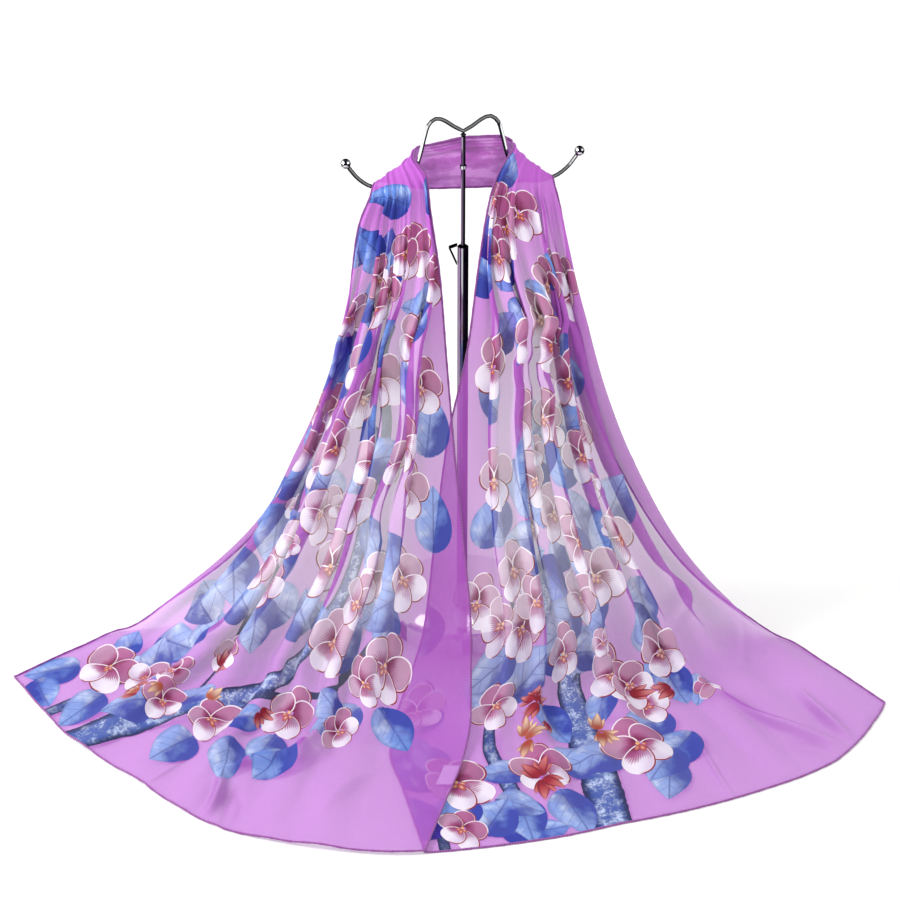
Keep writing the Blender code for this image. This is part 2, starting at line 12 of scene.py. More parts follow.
import bmesh
import bpy
import numpy as np
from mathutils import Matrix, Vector


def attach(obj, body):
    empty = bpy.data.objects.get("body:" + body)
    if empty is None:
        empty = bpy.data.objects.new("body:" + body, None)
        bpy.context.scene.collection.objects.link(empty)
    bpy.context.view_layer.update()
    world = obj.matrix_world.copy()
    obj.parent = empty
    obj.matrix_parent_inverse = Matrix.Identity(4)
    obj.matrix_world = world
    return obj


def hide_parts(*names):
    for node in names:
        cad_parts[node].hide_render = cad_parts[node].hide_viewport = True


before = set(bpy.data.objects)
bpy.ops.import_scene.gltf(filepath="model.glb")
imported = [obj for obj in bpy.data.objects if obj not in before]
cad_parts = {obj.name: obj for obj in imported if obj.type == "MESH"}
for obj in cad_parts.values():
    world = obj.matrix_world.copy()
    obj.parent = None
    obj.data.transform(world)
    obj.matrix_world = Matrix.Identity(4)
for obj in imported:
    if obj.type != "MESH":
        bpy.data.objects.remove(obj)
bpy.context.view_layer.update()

# Tables hold whole numbers. A column is divided by what OVER says for its name, or else by
# 1000, so that shares of the width and stations s along the cloth are in thousandths.
OVER = {"ends": 100, "lean": 100, "bend": 100, "tone": 100, "low": 100, "high": 100,
        "bow_in": 100, "bow_x": 100, "bow_y": 100, "margin": 100, "rest": 100,
        "radius": 1, "turn": 1, "length": 1, "width": 1, "half": 1,
        "inner_x": 10000, "inner_y": 10000, "inner_z": 10000, "outer_x": 10000,
        "outer_y": 10000, "outer_z": 10000, "out": 10000, "rise": 10000, "breadth": 10000}


def table(kind, text):
    over = [OVER.get(field, 1000) for field in kind._fields]
    return tuple(kind(*(int(n) / by for n, by in zip(row.split(), over)))
                 for row in text.split(","))


# ---------------------------------------------------------------- cloth sections

CUT_WIDTH = 0.500
FOLD_TURN_MAX = 1.65
FOLD_STEPS = 2400
TURN_STEPS = 32
BASE_CURVE_STEPS = 96
STATION_NUDGE = 0.0020
OUTER_FOLDS_FROM = 0.80
OUTER_INWARD = 0.55
NAPE = -0.090                    # the first station: the middle of the nape
SEAM = -0.047
OVERLAP_LIFT = 0.0030
OVERLAP_FROM, OVERLAP_FULL = 0.40, 0.52
OVERLAP_WIDTH, OVERLAP_FADE = 0.22, 0.38
SHOULDER = -0.035
FOLD_FADE = 0.16
FOLD_LEFT_OVER = 0.25
FOLD_SPREAD = (0.0, 0.15)
CREST_TAPER_TO = 0.10
CREST_PRESS = 0.45
HEM_REACH = 0.09
REST_Z = 0.0006
REST_CLEAR = 0.0002              # how far above it the thin sheet stays
CREASE_DEPTH = 1.8               # how deep creases are next to what their rows say
CREASE_MARKS, CREASE_CLEAR, CREASE_ENDS = 17, 0.01, 0.8
OUTER_SHARES, OUTER_STATIONS = (0.35, 1.0), (0.0, 0.08)   # where outer folds move inward

# Where the cloth's inner and outer edges are, how its line bows between them, how full its
# folds are, how wide its plain inner margin is, and how far it rests on the floor.
Station = namedtuple(
    "Station",
    "s inner_x inner_y inner_z outer_x outer_y outer_z bow_in bow_x bow_y fullness margin rest",
)
LEFT_STATIONS = table(Station, """
    -90    0   130 4950     0   135 4460 33 33 67  12  2   0,
    -60 -290   120 4882  -320   140 4450 33 33 67  16  2   0,
    -35 -412    95 4862  -560   150 4480 33 33 67  14  2   0,
      0 -437   -50 4822  -782  -100 4608 33 33 67  32  2   0,
     22 -325  -155 4700  -830  -212 4500 33 33 67  80  2   0,
     50 -293  -193 4410  -927  -195 4230 40 27 67 220  2   0,
    110 -205  -354 3796 -1034  -202 3640 47 20 67 420  3   0,
    180 -148  -553 3090 -1212  -213 2965 50 17 67 600  5   0,
    260  -78  -806 2280 -1461  -229 2206 53 13 67 700  8   0,
    340    5 -1092 1490 -1787  -250 1480 55 12 67 720 11   0,
    420   75 -1446  715 -2276  -281  846 55 11 67 620 14  20,
    490   70 -1876  115 -2793  -314  375 53 12 64 460 16  70,
    550  -15 -2480    6 -3280  -344   30 49 13 60 340 16 100,
    600 -153 -3000    6 -3674  -626    6 50 13 44 240 15 100,
    670 -330 -3700    6 -4210 -1108    6 60 14 30 100 12 100""")
RIGHT_STATIONS = table(Station, """
    -90    0   130 4950    0   135 4460 33 33 67  12  2   0,
    -60  300   150 4955  320   165 4460 33 33 67  16  2   0,
    -35  430   165 4900  560   220 4490 33 33 67  16  2   0,
      0  437    50 4872  782    85 4601 33 33 67  36  2   0,
     22  330   -85 4742  823    36 4494 33 33 67  80  2   0,
     50  245  -163 4526  898    20 4225 40 27 67 220  2   0,
    110  140  -320 3920 1027    -5 3640 47 20 67 420  3   0,
    180   46  -518 3210 1161   -33 2953 50 17 67 600  5   0,
    260 -142  -763 2350 1406   -84 2194 53 13 67 700  8   0,
    340 -253 -1043 1510 1748  -153 1478 55 12 67 720 11   0,
    420 -355 -1383  740 2164  -237  796 54 13 67 620 15  20,
    490 -600 -1790   80 2639  -334  296 50 15 65 460 18  70,
    550 -654 -2300    6 3100  -490   15 47 15 62 340 18 100,
    600 -530 -2820    6 3420  -860    6 38 11 57 240 17 100,
    680 -330 -3690    6 3905 -1520    6 25  9 60 100 14 100""")

# How far the hem sways out, at shares of its width.
Sway = namedtuple("Sway", "share out")
LEFT_HEM = table(Sway, """
    0 0, 60 24, 140 30, 250 44, 350 69, 400 52, 470 11, 560 -46, 670 -25, 770 22, 880 13, 1000 0""")
RIGHT_HEM = table(Sway, """
    0 0, 80 -21, 150 -27, 250 -30, 350 -51, 460 -19, 570 8, 640 24, 710 51, 790 67, 870 18,
    930 -13, 1000 0""")

# Each fold's share of the width, the station at which it ends, and its lean.
Fold = namedtuple("Fold", "share ends lean")
LEFT_FOLDS = table(Fold, """
    135 50 10, 105 60 25, 95 52 -20, 115 64 20, 170 56 -10, 150 66 25, 130 50 -15, 100 58 20""")
RIGHT_FOLDS = table(Fold, """
    85 56 20, 125 64 -15, 110 52 25, 140 60 10, 125 50 -20, 110 66 20, 130 54 -10, 175 62 15""")

# The fine gathers between the folds: waves across the cloth, their weight and where they
# start, and how far they wander sideways on the way down.
Gather = namedtuple("Gather", "waves weight start wander")
GATHERS = (
    Gather(17.0, 0.45, 0.9, 0.8),
    Gather(25.0, 0.35, 2.7, -1.4),
    Gather(38.0, 0.20, 4.4, 2.2),
)
# The cloth's own width, edge to edge along its folds, by station.
Spread = namedtuple("Spread", "s across")
SPREADS = table(Spread, """
    -90 55, -50 56, -35 45, 0 47, 22 60, 50 125, 80 260, 110 385, 180 440, 260 460, 340 470,
    420 475, 500 475, 600 480, 700 500""")
# How far gathers bend sideways, and how many such bends are across the cloth.
GATHER_BEND, GATHER_BENDS = 0.06, 2.3
# They are deeper in some patches: waves across and along, how deep, within what limits, and
# how far the sides differ.
PATCH_WAVES, PATCH_MEAN, PATCH_SWING, PATCH_LIMITS = (1.7, 2.1), 0.75, 0.5, (0.3, 1.2)
PATCH_SHIFT = 1.3
# How steep gathers may be at the nape, down the falls and on the floor, between these
# stations, and how far in from the inner margin they start.
GATHER_TURN_NAPE, GATHER_TURN_MAX, GATHER_TURN_LOW = 0.85, 1.30, 0.10
GATHER_CREST, GATHER_FLOOR = (0.0, 0.05), (0.20, 0.48)
GATHER_MARGIN = 0.04
DEEPEST_TURN, RESTING_TURN = 1.95, 1.10   # how steep folds may be, and next to their solid's
# How deep each fold is near the crest, and the stations between which that wears off.
CREST_FOLDS = (1.0, 0.25, 0.80, 0.15, 0.55, 1.0, 0.20, 0.60)
CREST_FOLDS_TO = (0.050, 0.170)
# Above this station only the inner side is crumpled, and past these shares it is smooth.
CRUMPLE_TO = 0.020
CRUMPLE_SHARE = (0.20, 0.42)
RESTING = (0.36, 0.52)           # the stations between which folds flatten out on the floor

Side = namedtuple("Side", "stations folds hem outward lift creases")


def smooth_step(low, high, value):
    t = np.clip((value - low) / (high - low), 0.0, 1.0)
    return t * t * (3.0 - 2.0 * t)


def station_at(stations, s):
    """A station between two rows, by a monotone cubic, so that nothing overshoots."""
    rows = np.array(stations, dtype=float)
    x, y = rows[:, 0], rows[:, 1:]
    step = np.diff(x)
    slope = np.diff(y, axis=0) / step[:, None]
    tangent = np.zeros_like(y)
    tangent[0], tangent[-1] = slope[0], slope[-1]
    before, after = slope[:-1], slope[1:]
    weight_1 = (2 * step[1:] + step[:-1])[:, None]
    weight_2 = (step[1:] + 2 * step[:-1])[:, None]
    same_way = before * after > 0
    safe_before = np.where(same_way, before, 1.0)
    safe_after = np.where(same_way, after, 1.0)
    mean = (weight_1 + weight_2) / (weight_1 / safe_before + weight_2 / safe_after)
    tangent[1:-1] = np.where(same_way, mean, 0.0)
    s = min(max(s, x[0]), x[-1])
    i = min(int(np.searchsorted(x, s, side="right")) - 1, len(x) - 2)
    t = (s - x[i]) / step[i]
    value = (
        (1 + 2 * t) * (1 - t) ** 2 * y[i]
        + t * (1 - t) ** 2 * step[i] * tangent[i]
        + t * t * (3 - 2 * t) * y[i + 1]
        + t * t * (t - 1) * step[i] * tangent[i + 1]
    )
    return Station(s, *value)


def base_curve(row):
    inner = np.array((row.inner_x, row.inner_y, row.inner_z))
    outer = np.array((row.outer_x, row.outer_y, row.outer_z))
    chord = outer - inner
    near = inner + np.array((row.bow_in * chord[0], 0.0, chord[2] / 3))
    far = outer - np.array((row.bow_x * chord[0], row.bow_y * chord[1], chord[2] / 3))
    t = np.linspace(0.0, 1.0, BASE_CURVE_STEPS + 1)[:, None]
    return (
        (1 - t) ** 3 * inner
        + 3 * (1 - t) ** 2 * t * near
        + 3 * (1 - t) * t * t * far
        + t ** 3 * outer
    )


def unit_rows(vectors):
    return vectors / np.linalg.norm(vectors, axis=-1, keepdims=True)


def running(steps):
    """How far along each mark is, from the steps between the marks."""
    return np.concatenate(([0.0], np.cumsum(steps)))


def travelled(path):
    return running(np.linalg.norm(np.diff(path, axis=0), axis=1))


def fold_edges(side, row):
    count = len(side.folds)
    own = np.array([fold.share for fold in side.folds])
    spread = smooth_step(*FOLD_SPREAD, row.s)
    share = own * spread + (1 - spread) / count
    return row.margin + (1 - row.margin) * running(share / share.sum()), spread


def fold_strength(side, row):
    index = np.arange(len(side.folds))
    ends = np.array([fold.ends for fold in side.folds])
    sunk = smooth_step(ends - FOLD_FADE, ends + FOLD_FADE / 3, row.s)
    pressed = ((index + 0.5) / len(index)) ** 2 * (1 - smooth_step(0.0, CREST_TAPER_TO, row.s))
    pressed = pressed * smooth_step(NAPE, SHOULDER, row.s)
    return (1 - (1 - FOLD_LEFT_OVER) * sunk) * (1 - CREST_PRESS * pressed)


def gather_swing(side, s, share):
    """How the fine gathers turn to and fro across the cloth, uneven in width and depth."""
    swing = np.zeros_like(share)
    for gather in GATHERS:
        bend = np.sin(2 * np.pi * (GATHER_BENDS * share + gather.start))
        bend = GATHER_BEND * bend * side.outward
        phase = gather.waves * (share + bend) + gather.start + gather.wander * s
        swing += gather.weight * np.sin(2 * np.pi * phase)
    patch = PATCH_WAVES[0] * share + PATCH_WAVES[1] * s
    patchy = PATCH_MEAN + PATCH_SWING * np.sin(2 * np.pi * patch + PATCH_SHIFT * side.outward)
    return swing * np.clip(patchy, *PATCH_LIMITS)


def find_turn(angle, swing, length, width, high):
    """The largest turn at which a length of cloth still spans the width."""
    low = 0.0
    for _ in range(TURN_STEPS):
        turn = (low + high) / 2
        if np.cos(angle + turn * swing).mean() * length > width:
            low = turn
        else:
            high = turn
    return low


def fold_walk(side, row, width, length):
    """Walk a section's arc so that it covers just the base curve, as its solid does, with
    the fine gathers on top. Returns marks, reach and height."""
    share = (np.arange(FOLD_STEPS) + 0.5) / FOLD_STEPS
    edges, spread = fold_edges(side, row)
    fold = np.clip(np.searchsorted(edges, share, side="right") - 1, 0, len(side.folds) - 1)
    phase = np.clip((share - edges[fold]) / (edges[fold + 1] - edges[fold]), 0.0, 1.0)
    lean = np.array([f.lean for f in side.folds])[fold] * spread
    phase = phase + lean * np.sin(2 * np.pi * phase) / (2 * np.pi)
    strength = np.where(share < row.margin, 0.0, fold_strength(side, row)[fold])
    swing = strength * np.sin(2 * np.pi * phase)
    length = min(length, width / np.cos(FOLD_TURN_MAX * swing).mean())
    solid = find_turn(0.0, swing, length, width, FOLD_TURN_MAX)
    nape = 1 - smooth_step(SEAM, CRUMPLE_TO, row.s)
    smooth = 1 - nape * smooth_step(*CRUMPLE_SHARE, share)
    uneven = np.array(CREST_FOLDS)[fold]
    uneven = uneven + (1 - uneven) * smooth_step(*CREST_FOLDS_TO, row.s)
    swing = swing * (1 + lean * np.sign(swing)) * smooth * uneven
    resting = smooth_step(*RESTING, row.s)
    most = DEEPEST_TURN + (solid * RESTING_TURN - DEEPEST_TURN) * resting
    target = np.interp(row.s, [row.s for row in SPREADS], [row.across for row in SPREADS])
    turn = find_turn(0.0, swing, target, width, most)
    inside = smooth_step(0.0, row.margin + GATHER_MARGIN, share)
    fine = gather_swing(side, row.s, share) * inside * smooth
    falling, lying = smooth_step(*GATHER_CREST, row.s), smooth_step(*GATHER_FLOOR, row.s)
    most = GATHER_TURN_NAPE + (GATHER_TURN_MAX - GATHER_TURN_NAPE) * falling
    most += (GATHER_TURN_LOW - GATHER_TURN_MAX) * lying
    gather = find_turn(turn * swing, fine, target, width, most)
    angle = turn * swing + gather * fine
    step = width / np.cos(angle).sum()
    marks = np.linspace(0.0, 1.0, FOLD_STEPS + 1)
    reach, height = running(np.cos(angle)) * step, running(np.sin(angle)) * step
    drift = np.interp(marks, np.concatenate(([0.0], edges)),
                      np.concatenate(([0.0], np.interp(edges, marks, height))))
    return marks, reach, height - drift


def hem_sway(side, s, shares):
    hem = side.stations[-1].s
    sway = np.interp(shares, [row.share for row in side.hem], [row.out for row in side.hem])
    return sway * smooth_step(hem - HEM_REACH, hem, s)


def crease_height(side, s, shares):
    """The soft folds and pressed creases: ridges are up, troughs down."""
    height = np.zeros_like(shares)
    for crease in side.creases:
        start = np.array((crease.share_a * CUT_WIDTH, crease.s_a))
        end = np.array((crease.share_b * CUT_WIDTH, crease.s_b))
        across = np.array((end[1] - start[1], start[0] - end[0]))
        middle = (start + end) / 2 + across * crease.bend
        t = np.linspace(0.0, 1.0, CREASE_MARKS)[:, None]
        path = (1 - t) ** 2 * start + 2 * (1 - t) * t * middle + t * t * end
        if abs(s - path[:, 1]).min() > 3 * crease.breadth + CREASE_CLEAR:
            continue
        a, b = path[:-1], path[1:]
        at = np.stack((shares * CUT_WIDTH, np.full_like(shares, s)), axis=1)[:, None]
        along = ((at - a) * (b - a)).sum(-1) / ((b - a) ** 2).sum(-1)
        along = np.clip(along, 0.0, 1.0)
        gap = np.linalg.norm(at - (a + along[..., None] * (b - a)), axis=-1)
        nearest = gap.argmin(axis=1)
        pick = np.arange(len(shares))
        place = (nearest + along[pick, nearest]) / len(a)
        fade = np.sin(np.pi * np.clip(place, 0.0, 1.0)) ** CREASE_ENDS
        profile = np.exp(-((gap[pick, nearest] / crease.breadth) ** 2))
        height += CREASE_DEPTH * crease.rise * fade * profile
    return height


def section(side, s, shares):
    """Points of the sheet across station s, at shares of its width."""
    s = min(max(s, side.stations[0].s), side.stations[-1].s)
    row = station_at(side.stations, s)
    curve = base_curve(row)
    along = base_curve(station_at(side.stations, s + STATION_NUDGE))
    along = along - base_curve(station_at(side.stations, s - STATION_NUDGE))
    across = np.gradient(curve, axis=0)
    normal = unit_rows(np.cross(across, along)) * side.outward
    travel = travelled(curve)
    width = travel[-1]
    curve = curve + unit_rows(along) * hem_sway(side, s, travel / width)[:, None]
    length = width + row.fullness * max(CUT_WIDTH - width, 0.0)
    marks, reach, height = fold_walk(side, row, width, length)
    outer_height = height[marks > OUTER_FOLDS_FROM].max() * OUTER_INWARD
    inward = outer_height * smooth_step(*OUTER_SHARES, marks) * smooth_step(*OUTER_STATIONS, s)
    height = height - inward * (1 - row.rest) - height.min() * row.rest
    lift = side.lift * smooth_step(OVERLAP_FROM, OVERLAP_FULL, s)
    lift = lift * (1 - smooth_step(OVERLAP_WIDTH, OVERLAP_FADE, shares))
    at = np.interp(shares, marks, reach)
    up = np.interp(shares, marks, height) + lift + crease_height(side, s, shares)
    curve, normal = (np.stack([np.interp(at, travel, axis) for axis in rows.T], axis=1)
                     for rows in (curve, normal))
    points = curve + unit_rows(normal) * up[:, None]
    points[:, 2] = np.maximum(points[:, 2], REST_Z + REST_CLEAR)
    return points


# Creases: from (share, s) to (share, s), how far the line bows, its rise and its breadth.
Crease = namedtuple("Crease", "share_a s_a share_b s_b bend rise breadth")
LEFT_CREASES = table(Crease, """
    560 674 535 620   5  13  25,
    404 668 446 618  25  60  56,
    455 624 265 552 -16  64  60,
    355 672 400 630  20 -30  70,
    295 512 318 585  10  45  60,
    215 640 150 560 -15  30  90,
    620 600 540 545  10  30  80,
    850 520 700 460 -10  50 120,
    560 330 960 350   4  12  30""")
RIGHT_CREASES = table(Crease, """
    567 686 602 588   5  15  25,
    877 598 862 676 -15  52  62,
    690 525 838 674 -10  50  58,
    735 640 800 676  15 -25  70,
    880 400 700 470  10  60 120,
    930 480 820 540  12  40 100,
    530 327 955 298   2  12  30,
    320 560 420 600 -12  25  80""")
LEFT = Side(LEFT_STATIONS, LEFT_FOLDS, LEFT_HEM, 1.0, OVERLAP_LIFT, LEFT_CREASES)
RIGHT = Side(RIGHT_STATIONS, RIGHT_FOLDS, RIGHT_HEM, -1.0, 0.0, RIGHT_CREASES)


# ---------------------------------------------------------------- sheets

FALL_COLUMNS = 400
FALL_STEP = 0.0030
BAND_COLUMNS = 260
BAND_STEP = 0.0015
NAPE_PLACE = 2.0                 # keeps the nape's cloth coordinates clear of the falls'
# How a rolled hem's thickness varies along it: how much, how often and from where.
UNEVEN = ((0.12, 420.0, 0.0), (0.08, 1130.0, 1.0))


def link_object(name, data):
    obj = bpy.data.objects.new(name, data)
    bpy.context.scene.collection.objects.link(obj)
    return obj


def add_object(name, mesh, material):
    obj = link_object(name, mesh)
    mesh.materials.append(material)
    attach(obj, "stand")
    return obj


def smooth_mesh(name, points, faces):
    mesh = bpy.data.meshes.new(name)
    mesh.from_pydata(points.reshape(-1, 3).tolist(), [], faces)
    mesh.shade_smooth()
    return mesh


def grid_mesh(name, points, flip):
    """A sheet through a grid of points. The grid has one row more at each end, which only
    serves the normals, so that neighbouring sheets meet without a line."""
    across = np.gradient(points, axis=1)
    along = np.gradient(points, axis=0)
    normals = unit_rows(np.cross(along, across))[1:-1] * (-1.0 if flip else 1.0)
    points = points[1:-1]
    rows, columns = points.shape[:2]
    index = np.arange(rows * columns).reshape(rows, columns)
    quads = np.stack((index[:-1, :-1], index[1:, :-1], index[1:, 1:], index[:-1, 1:]), axis=-1)
    quads = quads.reshape(-1, 4)
    if flip:
        quads = quads[:, ::-1]
    mesh = smooth_mesh(name, points, quads.tolist())
    mesh.normals_split_custom_set_from_vertices(normals.reshape(-1, 3).tolist())
    return mesh, quads


def add_vectors(mesh, name, first, second):
    """Two numbers for each vertex. "cloth" is where it lies on the flat cloth, in metres."""
    made = mesh.attributes.new(name, "FLOAT_VECTOR", "POINT")
    both = np.stack((first, second, np.zeros_like(first)), axis=-1).astype(np.float32)
    made.data.foreach_set("vector", both.ravel())


def fall_sheet(name, side, pattern, material):
    hem = side.stations[-1].s
    stations = np.linspace(SEAM, hem, int((hem - SEAM) / FALL_STEP))
    shares = np.linspace(0.0, 1.0, FALL_COLUMNS)
    step = stations[1] - stations[0]
    rows = [section(side, s, shares) for s in (SEAM - step, *stations)]
    rows.append(2 * rows[-1] - rows[-2])
    mesh, quads = grid_mesh(name, np.array(rows), side.outward < 0)
    points = np.array(rows)[1:-1]
    share, s = (grid.ravel() for grid in np.meshgrid(shares, stations))
    add_vectors(mesh, "cloth", share * CUT_WIDTH, s)
    height = np.array([crease_height(side, station, shares) for station in stations])
    # The creases' slope, which the material paints as shade along them.
    slant = np.hypot(*np.gradient(height, stations, shares * CUT_WIDTH)).astype(np.float32)
    mesh.attributes.new("slant", "FLOAT", "POINT").data.foreach_set("value", slant.ravel())
    arcs = np.linalg.norm(np.diff(points, axis=1), axis=2).sum(axis=1)

    def arc_at(s):
        """How wide the sheet is along its folds, which is the scale of the print there."""
        return np.interp(s, stations, arcs)

    add_motifs(mesh, quads, share, s, arc_at, side.outward, print_shapes(pattern))
    add_branches(mesh, share, s, arc_at, pattern.branches)
    return add_object(name, mesh, material), points


def band_sheet(name, material):
    stations = np.linspace(SEAM, NAPE, int((SEAM - NAPE) / BAND_STEP))
    shares = np.linspace(0.0, 1.0, BAND_COLUMNS)
    step = stations[1] - stations[0]
    rows = [section(LEFT, s, shares) for s in (SEAM - step, *stations)]
    rows += [section(RIGHT, s, shares) for s in (*stations[-2::-1], SEAM - step)]
    points = np.array(rows)[::-1]
    mesh, _ = grid_mesh(name, points, False)
    share_grid, along_grid = np.meshgrid(shares, np.arange(len(points) - 2) * -step)
    add_vectors(mesh, "cloth", share_grid.ravel() * CUT_WIDTH, along_grid.ravel() - NAPE_PLACE)
    return add_object(name, mesh, material), points[1:-1]


def tube_mesh(name, path, radius, sides):
    """A tube of slightly uneven thickness along a path, with a length attribute."""
    path = np.array(path)
    tangent = unit_rows(np.gradient(path, axis=0))
    frame_up = np.cross(tangent[0], (0.0, 0.0, 1.0))
    if np.linalg.norm(frame_up) < 1e-3:
        frame_up = np.cross(tangent[0], (0.0, 1.0, 0.0))
    ring_up = [frame_up / np.linalg.norm(frame_up)]
    for t in tangent[1:]:
        up = ring_up[-1] - t * np.dot(ring_up[-1], t)
        ring_up.append(up / np.linalg.norm(up))
    ring_up = np.array(ring_up)
    ring_side = np.cross(tangent, ring_up)
    angle = np.linspace(0.0, 2 * np.pi, sides, endpoint=False)
    travel = travelled(path)
    thick = np.ones_like(travel)
    for much, often, start in UNEVEN:
        thick = thick + much * np.sin(travel * often + start)
    thick = radius * thick
    rings = (
        path[:, None]
        + ring_up[:, None] * (np.cos(angle) * thick[:, None])[..., None]
        + ring_side[:, None] * (np.sin(angle) * thick[:, None])[..., None]
    )
    count = len(path)
    index = np.arange(count * sides).reshape(count, sides)
    ahead = np.roll(index, -1, axis=1)
    quads = np.stack((index[:-1], index[1:], ahead[1:], ahead[:-1]), axis=-1).reshape(-1, 4)
    faces = quads.tolist() + [index[0].tolist()[::-1], index[-1].tolist()]
    mesh = smooth_mesh(name, rings, faces)
    bm = bmesh.new()
    bm.from_mesh(mesh)
    bmesh.ops.recalc_face_normals(bm, faces=bm.faces)
    bm.to_mesh(mesh)
    bm.free()
    add_vectors(mesh, "cloth", np.tile(np.arange(sides) / sides, count), travel.repeat(sides))
    return mesh


# ---------------------------------------------------------------- print

# Ordinary flowers, leaves, buds and branches, laid out on the flat cloth. share and
# s are where a motif starts, sizes are in millimetres, turn is in degrees from the hem side
# (90 points at the shoulder), and tone is from 0, pale, to 100, deep.
Flower = namedtuple("Flower", "share s radius turn tone")
Leaf = namedtuple("Leaf", "share s length width turn tone")
Twig = namedtuple("Twig", "share s half")
LEFT_FLOWERS = table(Flower, """
    885 585 37 80 75, 745 535 27 100 60, 555 560 33 60 55, 400 520 31 95 65, 265 525 25 40 80,
    170 452 34 110 90, 345 440 33 90 45, 125 375 30 75 90, 255 375 27 120 40, 460 372 34 85 35,
    375 310 30 70 50, 105 292 28 100 90, 545 325 32 110 40, 620 405 26 60 30, 230 268 27 95 35,
    760 395 30 105 35, 870 275 30 85 90, 940 235 24 60 80, 690 280 30 90 60, 60 205 27 95 85,
    330 195 29 80 85, 215 160 27 110 80, 500 215 30 70 60, 670 185 29 100 55, 480 120 26 90 85,
    640 105 25 60 75, 260 85 25 85 60, 60 110 24 100 75, 820 140 25 100 45, 655 485 25 80 85,
    800 560 30 120 80, 690 570 28 60 90, 215 470 29 60 60, 300 400 30 100 70, 700 360 27 110 50,
    160 250 27 60 60, 420 270 28 100 70, 560 260 28 80 90, 570 130 26 80 70, 780 230 27 75 70,
    370 85 26 100 80, 900 330 27 95 70, 600 362 14 70 20, 655 318 15 110 25, 500 318 14 95 20,
    800 335 14 80 30""")
RIGHT_FLOWERS = table(Flower, """
    105 595 40 75 70, 270 590 32 95 75, 205 495 31 60 60, 480 588 38 85 65, 510 485 39 105 75,
    565 530 30 60 90, 665 478 33 90 70, 715 545 20 50 55, 225 425 28 100 55, 200 372 30 80 45,
    95 400 27 95 50, 445 405 28 110 80, 535 390 31 70 75, 400 325 31 90 60, 690 360 34 100 60,
    130 290 30 85 35, 300 335 25 60 90, 300 235 28 95 80, 420 235 27 80 55, 85 195 30 100 75,
    560 275 27 75 40, 700 262 26 100 35, 210 165 28 90 85, 355 150 30 75 75, 545 205 29 95 50,
    480 120 28 100 55, 790 130 25 85 90, 250 75 26 90 60, 400 60 25 60 70, 100 55 23 110 85,
    78 655 27 110 60, 560 500 32 70 80, 40 490 28 80 50, 380 450 27 80 70, 260 400 28 60 70,
    150 420 27 120 70, 340 290 28 110 70, 470 350 29 60 80, 480 250 28 75 70, 620 240 27 95 60,
    430 170 28 110 70, 620 180 27 70 80, 170 100 25 90 70, 860 115 26 100 90, 720 110 26 75 60,
    620 322 15 80 20, 590 345 14 110 25, 365 268 14 95 30, 490 445 14 75 25, 660 305 13 60 20""")
LEFT_LEAVES = table(Leaf, """
    900 520 62 22 160 55, 840 540 58 20 200 80, 930 610 60 20 300 75, 960 655 46 20 190 85,
    820 610 60 20 265 65, 770 500 52 20 60 60, 560 590 58 22 285 60, 480 575 58 21 245 50,
    400 545 52 20 270 45, 350 560 52 21 285 70, 230 500 60 20 320 40, 190 495 55 19 230 70,
    290 465 60 19 100 35, 440 440 58 24 45 30, 530 430 60 26 20 35, 690 445 62 24 30 40,
    820 470 64 26 20 15, 880 395 62 24 235 40, 840 335 66 24 250 60, 720 330 60 20 285 75,
    640 350 60 22 250 30, 230 350 62 20 280 25, 180 330 66 19 265 85, 440 300 60 20 80 20,
    310 320 58 20 250 55, 60 265 56 19 100 75, 60 350 60 17 95 75, 950 310 60 20 270 85,
    400 240 50 20 250 75, 100 150 55 20 20 65, 360 150 56 20 330 70, 560 165 54 20 30 80,
    740 140 60 22 120 55, 900 160 60 20 250 95, 600 105 46 18 100 95, 120 50 62 20 150 85,
    330 45 56 18 30 80, 880 90 52 18 60 40""")
RIGHT_LEAVES = table(Leaf, """
    620 475 64 25 115 30, 700 480 52 19 30 50, 690 520 58 20 10 80, 735 525 46 17 320 55,
    590 550 60 24 340 60, 600 590 62 22 335 70, 520 610 62 20 300 45, 550 600 60 20 325 60,
    140 665 62 20 185 85, 200 620 62 21 275 70, 280 625 60 21 265 60, 160 620 46 18 215 55,
    240 480 58 19 20 65, 330 500 60 19 255 75, 150 450 58 22 240 95, 320 455 62 21 160 55,
    440 470 50 18 70 45, 540 365 64 24 75 30, 600 380 60 22 120 25, 690 400 58 20 290 50,
    370 375 62 21 130 65, 330 360 62 20 235 90, 170 345 60 22 60 20, 90 350 54 18 110 75,
    470 300 60 20 85 60, 420 290 52 18 40 35, 200 270 56 20 250 30, 640 215 62 22 20 65,
    760 210 60 20 10 75, 130 235 56 20 40 25, 540 160 56 20 270 75, 80 125 62 21 20 75,
    210 130 60 18 280 90, 20 90 50 18 20 70, 300 30 66 21 15 50, 550 50 52 18 340 60,
    140 20 60 18 350 70, 70 560 56 23 35 60, 30 605 60 27 100 100, 110 665 56 22 130 70,
    20 665 54 25 85 100, 60 520 52 21 80 40, 20 440 52 20 60 50""")
LEFT_BUDS = table(Leaf, """
    790 580 24 8 200 40, 790 580 25 8 240 60, 785 583 22 8 150 30, 745 590 24 8 320 50,
    745 590 22 7 10 90, 720 560 22 7 280 90, 660 500 22 8 60 30, 660 500 22 8 120 50,
    655 503 20 7 180 40, 600 540 20 7 100 90, 470 525 20 6 190 40, 470 530 18 6 230 50""")
